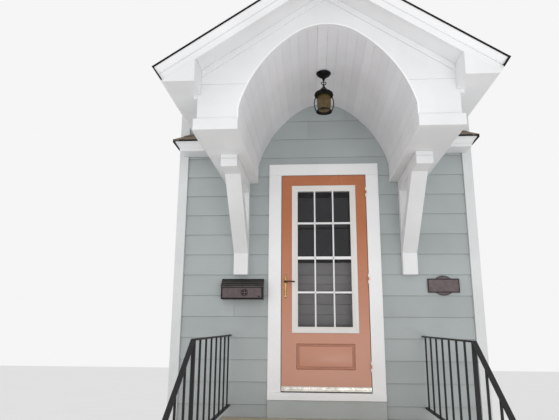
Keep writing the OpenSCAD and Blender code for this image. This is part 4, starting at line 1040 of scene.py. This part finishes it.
# The inner door's glass is almost black and nearly opaque: painted shade of the dark house behind it.
inner_glass = Form()
inner_glass.box((upper_field[0], inner_face_y + 0.014, upper_field[1]),
                (upper_field[2], inner_face_y + 0.02, upper_field[3]))
inner_glass.piece("inner_door_glass", GLASS_PAINTED_INTERIOR_SHADE, "inner_door", "inner_door", ("inner_door",), ease=0)
inner_hinges = Form()
door_hinge_halves(inner_hinges, INNER_PIN_Y, inner_back_y)
inner_hinges.piece("inner_hinge_halves", STEEL, "inner_door", "hinges", ("inner_door",), ease=0.0004)
eased_node("inner_door_knob", BRASS, "brass", "inner_door", ease=0.0005)

# Mailbox: a sheet box with rolled edges and a bordered front, and a lid with pressed ribs
eased_node("mailbox", MAILBOX_BODY, "mailbox", ease=0.0012)
trims = Form()
border, front_y, front_top = 0.013, BOX_LOW.y, BOX_LOW.z + 0.104
for low_x, high_x, high_z in ((BOX_LOW.x, BOX_LOW.x + border, front_top),
                              (BOX_HIGH.x - border, BOX_HIGH.x, front_top),
                              (BOX_LOW.x + border, BOX_HIGH.x - border, BOX_LOW.z + border)):
    trims.box((low_x, front_y - 0.0016, BOX_LOW.z), (high_x, front_y + 0.001, high_z), 0.3)


def along_x(form, low, high, inset, y, z, radius, sides, tone):
    """A round bar from side to side of a box, a little short of both."""
    form.tube([(low.x + inset, y, z), (high.x - inset, y, z)], radius, sides, tone)


along_x(trims, BOX_LOW, BOX_HIGH, 0.001, front_y, BOX_LOW.z + 0.002, 0.0028, 10, 0.3)
rose_x, rose_z = BOX_LOW.x + 0.221, BOX_LOW.z + 0.062
ROSE_R, STUD_RING_R = 0.030, 0.0165
rose = arc_points((rose_x, rose_z), ROSE_R, 0, 348.75, 31)
trims.tube([(x, front_y - 0.001, z) for x, z in rose], 0.0026, 8, 0.3, closed=True)
STUD = [(0.0085, 0.0005), (0.0080, -0.0015), (0.0055, -0.0032), (0.0, -0.004)]
LOCK = [(0.0075, 0.0005), (0.0075, -0.002), (0.006, -0.0028), (0.0, -0.0028)]
for x, z in arc_points((rose_x, rose_z), STUD_RING_R, 45, 315, 3):
    trims.lathe(STUD, (x, front_y, z), "y", 20, 0.3)
trims.lathe(LOCK, (BOX_HIGH.x - 0.036, front_y, BOX_LOW.z + 0.025), "y", 20, 0.3)
trims.piece("mailbox_trims", MAILBOX_RIB, slot="mailbox", ease=0.0005)
eased_node("mailbox_lid", MAILBOX_LID, "mailbox", "mailbox_lid", ease=0.0008)
lid_front, lid_low, lid_back = LID_LOW.y, LID_LOW.z + 0.014, LID_HIGH.y - 0.002


def on_lid(share):
    """A place on the lid's sloping top, from its front edge to its back one."""
    return lid_front + (lid_back - lid_front) * share, lid_low + (LID_HIGH.z - lid_low) * share


ribs = Form()
for share, radius in ((0.12, 0.0034), (0.38, 0.0032), (0.62, 0.0032)):
    along_x(ribs, LID_LOW, LID_HIGH, 0.003, *on_lid(share), radius, 12, 0.2)
along_x(ribs, LID_LOW, LID_HIGH, 0.001, lid_front + 0.001, LID_LOW.z + 0.002, 0.0027, 10, 0.2)
band_y, band_z = on_lid(0.80)
band = [(band_y, band_z - 0.002), (lid_back - 0.001, LID_HIGH.z - 0.003),
        (lid_back - 0.001, LID_HIGH.z + 0.001), (band_y, band_z + 0.002)]
ribs.prism(band, "x", LID_LOW.x + 0.0005, LID_HIGH.x - 0.0005, 0.2)
ribs.piece("mailbox_lid_ribs", MAILBOX_RIB, "mailbox_lid", "mailbox", ease=0)

# Plaque: bare, with a raised border round its field and along its crests
eased_node("house_plaque", PLAQUE_METAL, "plaque", ease=0.0015, name="plaque_body")
PLAQUE_CREST, CREST_HALF = 0.027, 0.071
plaque_x, plaque_z = (PLAQUE_LOW.x + PLAQUE_HIGH.x) / 2, (PLAQUE_LOW.z + PLAQUE_HIGH.z) / 2
half_x, half_z = (PLAQUE_HIGH.x - PLAQUE_LOW.x) / 2, (PLAQUE_HIGH.z - PLAQUE_LOW.z) / 2 - PLAQUE_CREST
crest_r = (CREST_HALF ** 2 + PLAQUE_CREST ** 2) / (2 * PLAQUE_CREST)
crest_turn = math.degrees(math.asin(CREST_HALF / crest_r)) - 2
BORDER = [(0, 0.0028), (0, 0.0005), (0.0005, 0.0), (0.0075, 0.0), (0.0095, 0.0028)]
border_form = Form()
border_form.frame((plaque_x - half_x, plaque_z - half_z), (plaque_x + half_x, plaque_z + half_z),
                  shifted(BORDER, 0.0, PLAQUE_LOW.y - 0.0018), tone=0.3)
crest_centre = (0, half_z + PLAQUE_CREST - crest_r)
crest = arc_points(crest_centre, crest_r - 0.004, 90 - crest_turn, 90 + crest_turn, 18)
for side in SIDES:
    border_form.tube([(plaque_x + x, PLAQUE_LOW.y, plaque_z + side * z) for x, z in crest], 0.0032, 8, 0.3,
                     flat=0.6)
border_form.piece("plaque_border", PLAQUE_EDGE, slot="plaque", ease=0)

# Lantern: canopy, cap, cage, glass and candle are turned about one upright axis; brim and glass are fluted
lantern_y = (LANTERN_LOW.y + LANTERN_HIGH.y) / 2
rim_r, top_z = CANOPY_HIGH.x, CANOPY_HIGH.z
CAP_RISE = 0.097
cap_z, foot_z = AMBER_HIGH.z + CAP_RISE, AMBER_LOW.z


def turned(form, z, turns, profile, **settings):
    """A form turned about the lantern's axis, with its profile's heights counted from z."""
    form.lathe(profile, (0, lantern_y, z), turns=turns, tone=0.5, **settings)


canopy = Form()
turned(canopy, top_z, 40, [(0.0, 0.003), (0.03, 0.003), (0.0315, -0.0005), (0.060, -0.0005),
                           (rim_r - 0.001, -0.003), (rim_r, -0.006), (rim_r - 0.001, -0.009),
                           (0.0625, -0.0105), (0.060, -0.017), (0.053, -0.025), (0.044, -0.0315),
                           (0.033, -0.038), (0.024, -0.045), (0.017, -0.053), (0.0125, -0.060),
                           (0.0100, -0.066), (0.0105, -0.070), (0.0075, -0.0745), (0.0, -0.0755)])


def wire_ring(form, centre_z, straight, across):
    """A long ring of round wire that stands upright, with its straight bars across X or Y."""
    path = []
    for side in (1, -1):
        for turn in range(-90, 91, 15):
            u = side * (straight / 2 + RING_R * math.cos(math.radians(turn)))
            v = side * RING_R * math.sin(math.radians(turn))
            path.append((u, lantern_y, centre_z + v) if across == "x" else (0, lantern_y + u, centre_z + v))
    form.tube(path, WIRE_R, 12, 0.5, closed=True)


RING_R, WIRE_R, HANG, EYE_DROP = 0.012, 0.0038, 0.0065, 0.082
eye_z = top_z - EYE_DROP
link_z = eye_z - RING_R + HANG
wire_ring(canopy, eye_z, 0.0001, "y")
canopy.piece("lantern_canopy_turned", LANTERN_IRON, slot="lantern_iron", replaces=("lantern_canopy",), ease=0)
link = Form()
wire_ring(link, link_z - RING_R, 0.018, "x")
link.piece("lantern_link_ring", LANTERN_IRON, "lantern_link", "lantern_iron", ("lantern_link",), ease=0)

body = Form()
wire_ring(body, link_z - 3 * RING_R + HANG, 0.006, "y")
cone = Form()
turned(cone, cap_z, 96, [(0.0, 0.014), (0.0070, 0.012), (0.0090, 0.007), (0.0085, 0.001), (0.0105, -0.004),
                         (0.016, -0.012), (0.0245, -0.022), (0.033, -0.032), (0.0415, -0.042),
                         (0.0415, -0.046), (0.0, -0.046)])
# The cone's grey colour is a painted highlight on black iron.
cone.piece("lantern_cap_cone", LANTERN_CAP_PAINTED_HIGHLIGHT, "lantern", "lantern_iron", ease=0)
turned(body, cap_z, 96, [(0.0, -0.041), (0.0400, -0.0405), (0.0440, -0.0425), (0.0490, -0.0465),
                         (0.0555, -0.0510, 0.01), (0.0620, -0.0545, 0.02), (0.0695, -0.060, 0.025),
                         (0.0770, -0.068, 0.03), (0.0812, -0.078, 0.035), (0.0815, -0.087, 0.04),
                         (0.0790, -0.096, 0.04), (0.0735, -0.1015, 0.035), (0.0705, -0.100, 0.03),
                         (0.0680, -0.093, 0.02), (0.0575, -0.093), (0.0, -0.093)], lobes=16)
turned(body, foot_z, 64, [(0.0500, 0.0085), (0.0530, 0.0100), (0.0690, -0.0040), (0.0715, -0.0085),
                          (0.0705, -0.0115), (0.0680, -0.0115), (0.0665, -0.0085), (0.0520, 0.0055)],
       closed=True)
for side in SIDES:
    wire = curve_points(14, lambda t: (side * (0.067 + 0.004 * t + 0.017 * math.sin(math.pi * t)), lantern_y,
                                       foot_z - 0.006 + 0.141 * t))
    body.tube(wire, 0.0044, 10, 0.5)
body.piece("lantern_body", LANTERN_IRON, "lantern", "lantern_iron", ("lantern_frame",), ease=0)
amber = Form()
turned(amber, foot_z, 120, [(0.0, -0.006), (0.022, -0.0055), (0.038, -0.003), (0.046, 0.001),
                            (0.0500, 0.006), (0.0545, 0.016), (0.0580, 0.028, 0.02), (0.0600, 0.050, 0.035),
                            (0.0605, 0.080, 0.04), (0.0600, 0.110, 0.035), (0.0575, 0.1365, 0.02),
                            (0.0550, 0.1365), (0.0565, 0.110), (0.0570, 0.080), (0.0565, 0.050),
                            (0.0545, 0.028), (0.0515, 0.017), (0.0475, 0.009), (0.043, 0.004), (0.036, 0.0),
                            (0.021, -0.0025), (0.0, -0.003)], lobes=20)
amber.piece("lantern_chimney", AMBER, "lantern", "amber_glass", ("lantern_glass",), ease=0)
CANDLE = [(0.0, 0.0025), (0.017, 0.0025), (0.017, 0.006), (0.0095, 0.010), (0.0085, 0.036), (0.0105, 0.039),
          (0.0105, 0.044), (0.0, 0.045)]
FLAME = [(0.0, 0.046), (0.006, 0.046), (0.0115, 0.056), (0.0145, 0.068), (0.0125, 0.082), (0.0075, 0.098),
         (0.0030, 0.112), (0.0, 0.117)]
candle = Form()
for profile in (CANDLE, FLAME):
    turned(candle, foot_z, 24, profile)
candle.piece("lantern_candle_bulb", BULB, "lantern", "lantern_iron", ease=0)

# Studio: a pale floor, an even sky, a weak soft lamp from the front left and a broad one that shines up
floor = Form()
floor.box((-14, -14, -0.05), (14, 14, -0.0005), 0.5)
floor_material, floor_tree = new_material("studio_floor", 0.9)
finish(floor_tree, Base_Color=mix(floor_tree, noise(floor_tree, 1.5, 2), (240, 240, 240), (236, 236, 236)))
floor.to_object("studio_floor", floor_material)

world = bpy.data.worlds.new("studio_sky")
scene.world = world
world.use_nodes = True
sky = world.node_tree
paths = add(sky, "LightPath")
seen = paths.outputs["Is Camera Ray"]
for kind in ("Is Glossy Ray", "Is Transmission Ray"):
    seen = add(sky, "Math", operation="MAXIMUM", _0=seen, _1=paths.outputs[kind]).outputs[0]
LIGHT_ON_SURFACES, LIGHT_SEEN = 0.86, 0.92
strength = spread(sky, seen, LIGHT_ON_SURFACES, LIGHT_SEEN)
background = sky.nodes["Background"]
background.inputs["Color"].default_value = (1, 1, 1, 1)
sky.links.new(strength, background.inputs["Strength"])


def soft_lamp(name, place, aim, size, energy):
    """A broad disk lamp, which itself stays out of sight."""
    lamp = bpy.data.lights.new(name, "AREA")
    lamp.shape = "DISK"
    lamp.size = size
    lamp.energy = energy
    made = bpy.data.objects.new(name, lamp)
    made.location = place
    made.rotation_euler = (Vector(aim) - made.location).to_track_quat("-Z", "Y").to_euler()
    made.visible_camera = False
    scene.collection.objects.link(made)


soft_lamp("soft_key", (-8.0, -8.0, 4.5), (0, 0, 2.6), 6.0, 70)
soft_lamp("floor_bounce", (0.8, -5.1, 0.03), (0, -3.8, 3.0), 5.0, 175)

scene.view_settings.view_transform = "Standard"
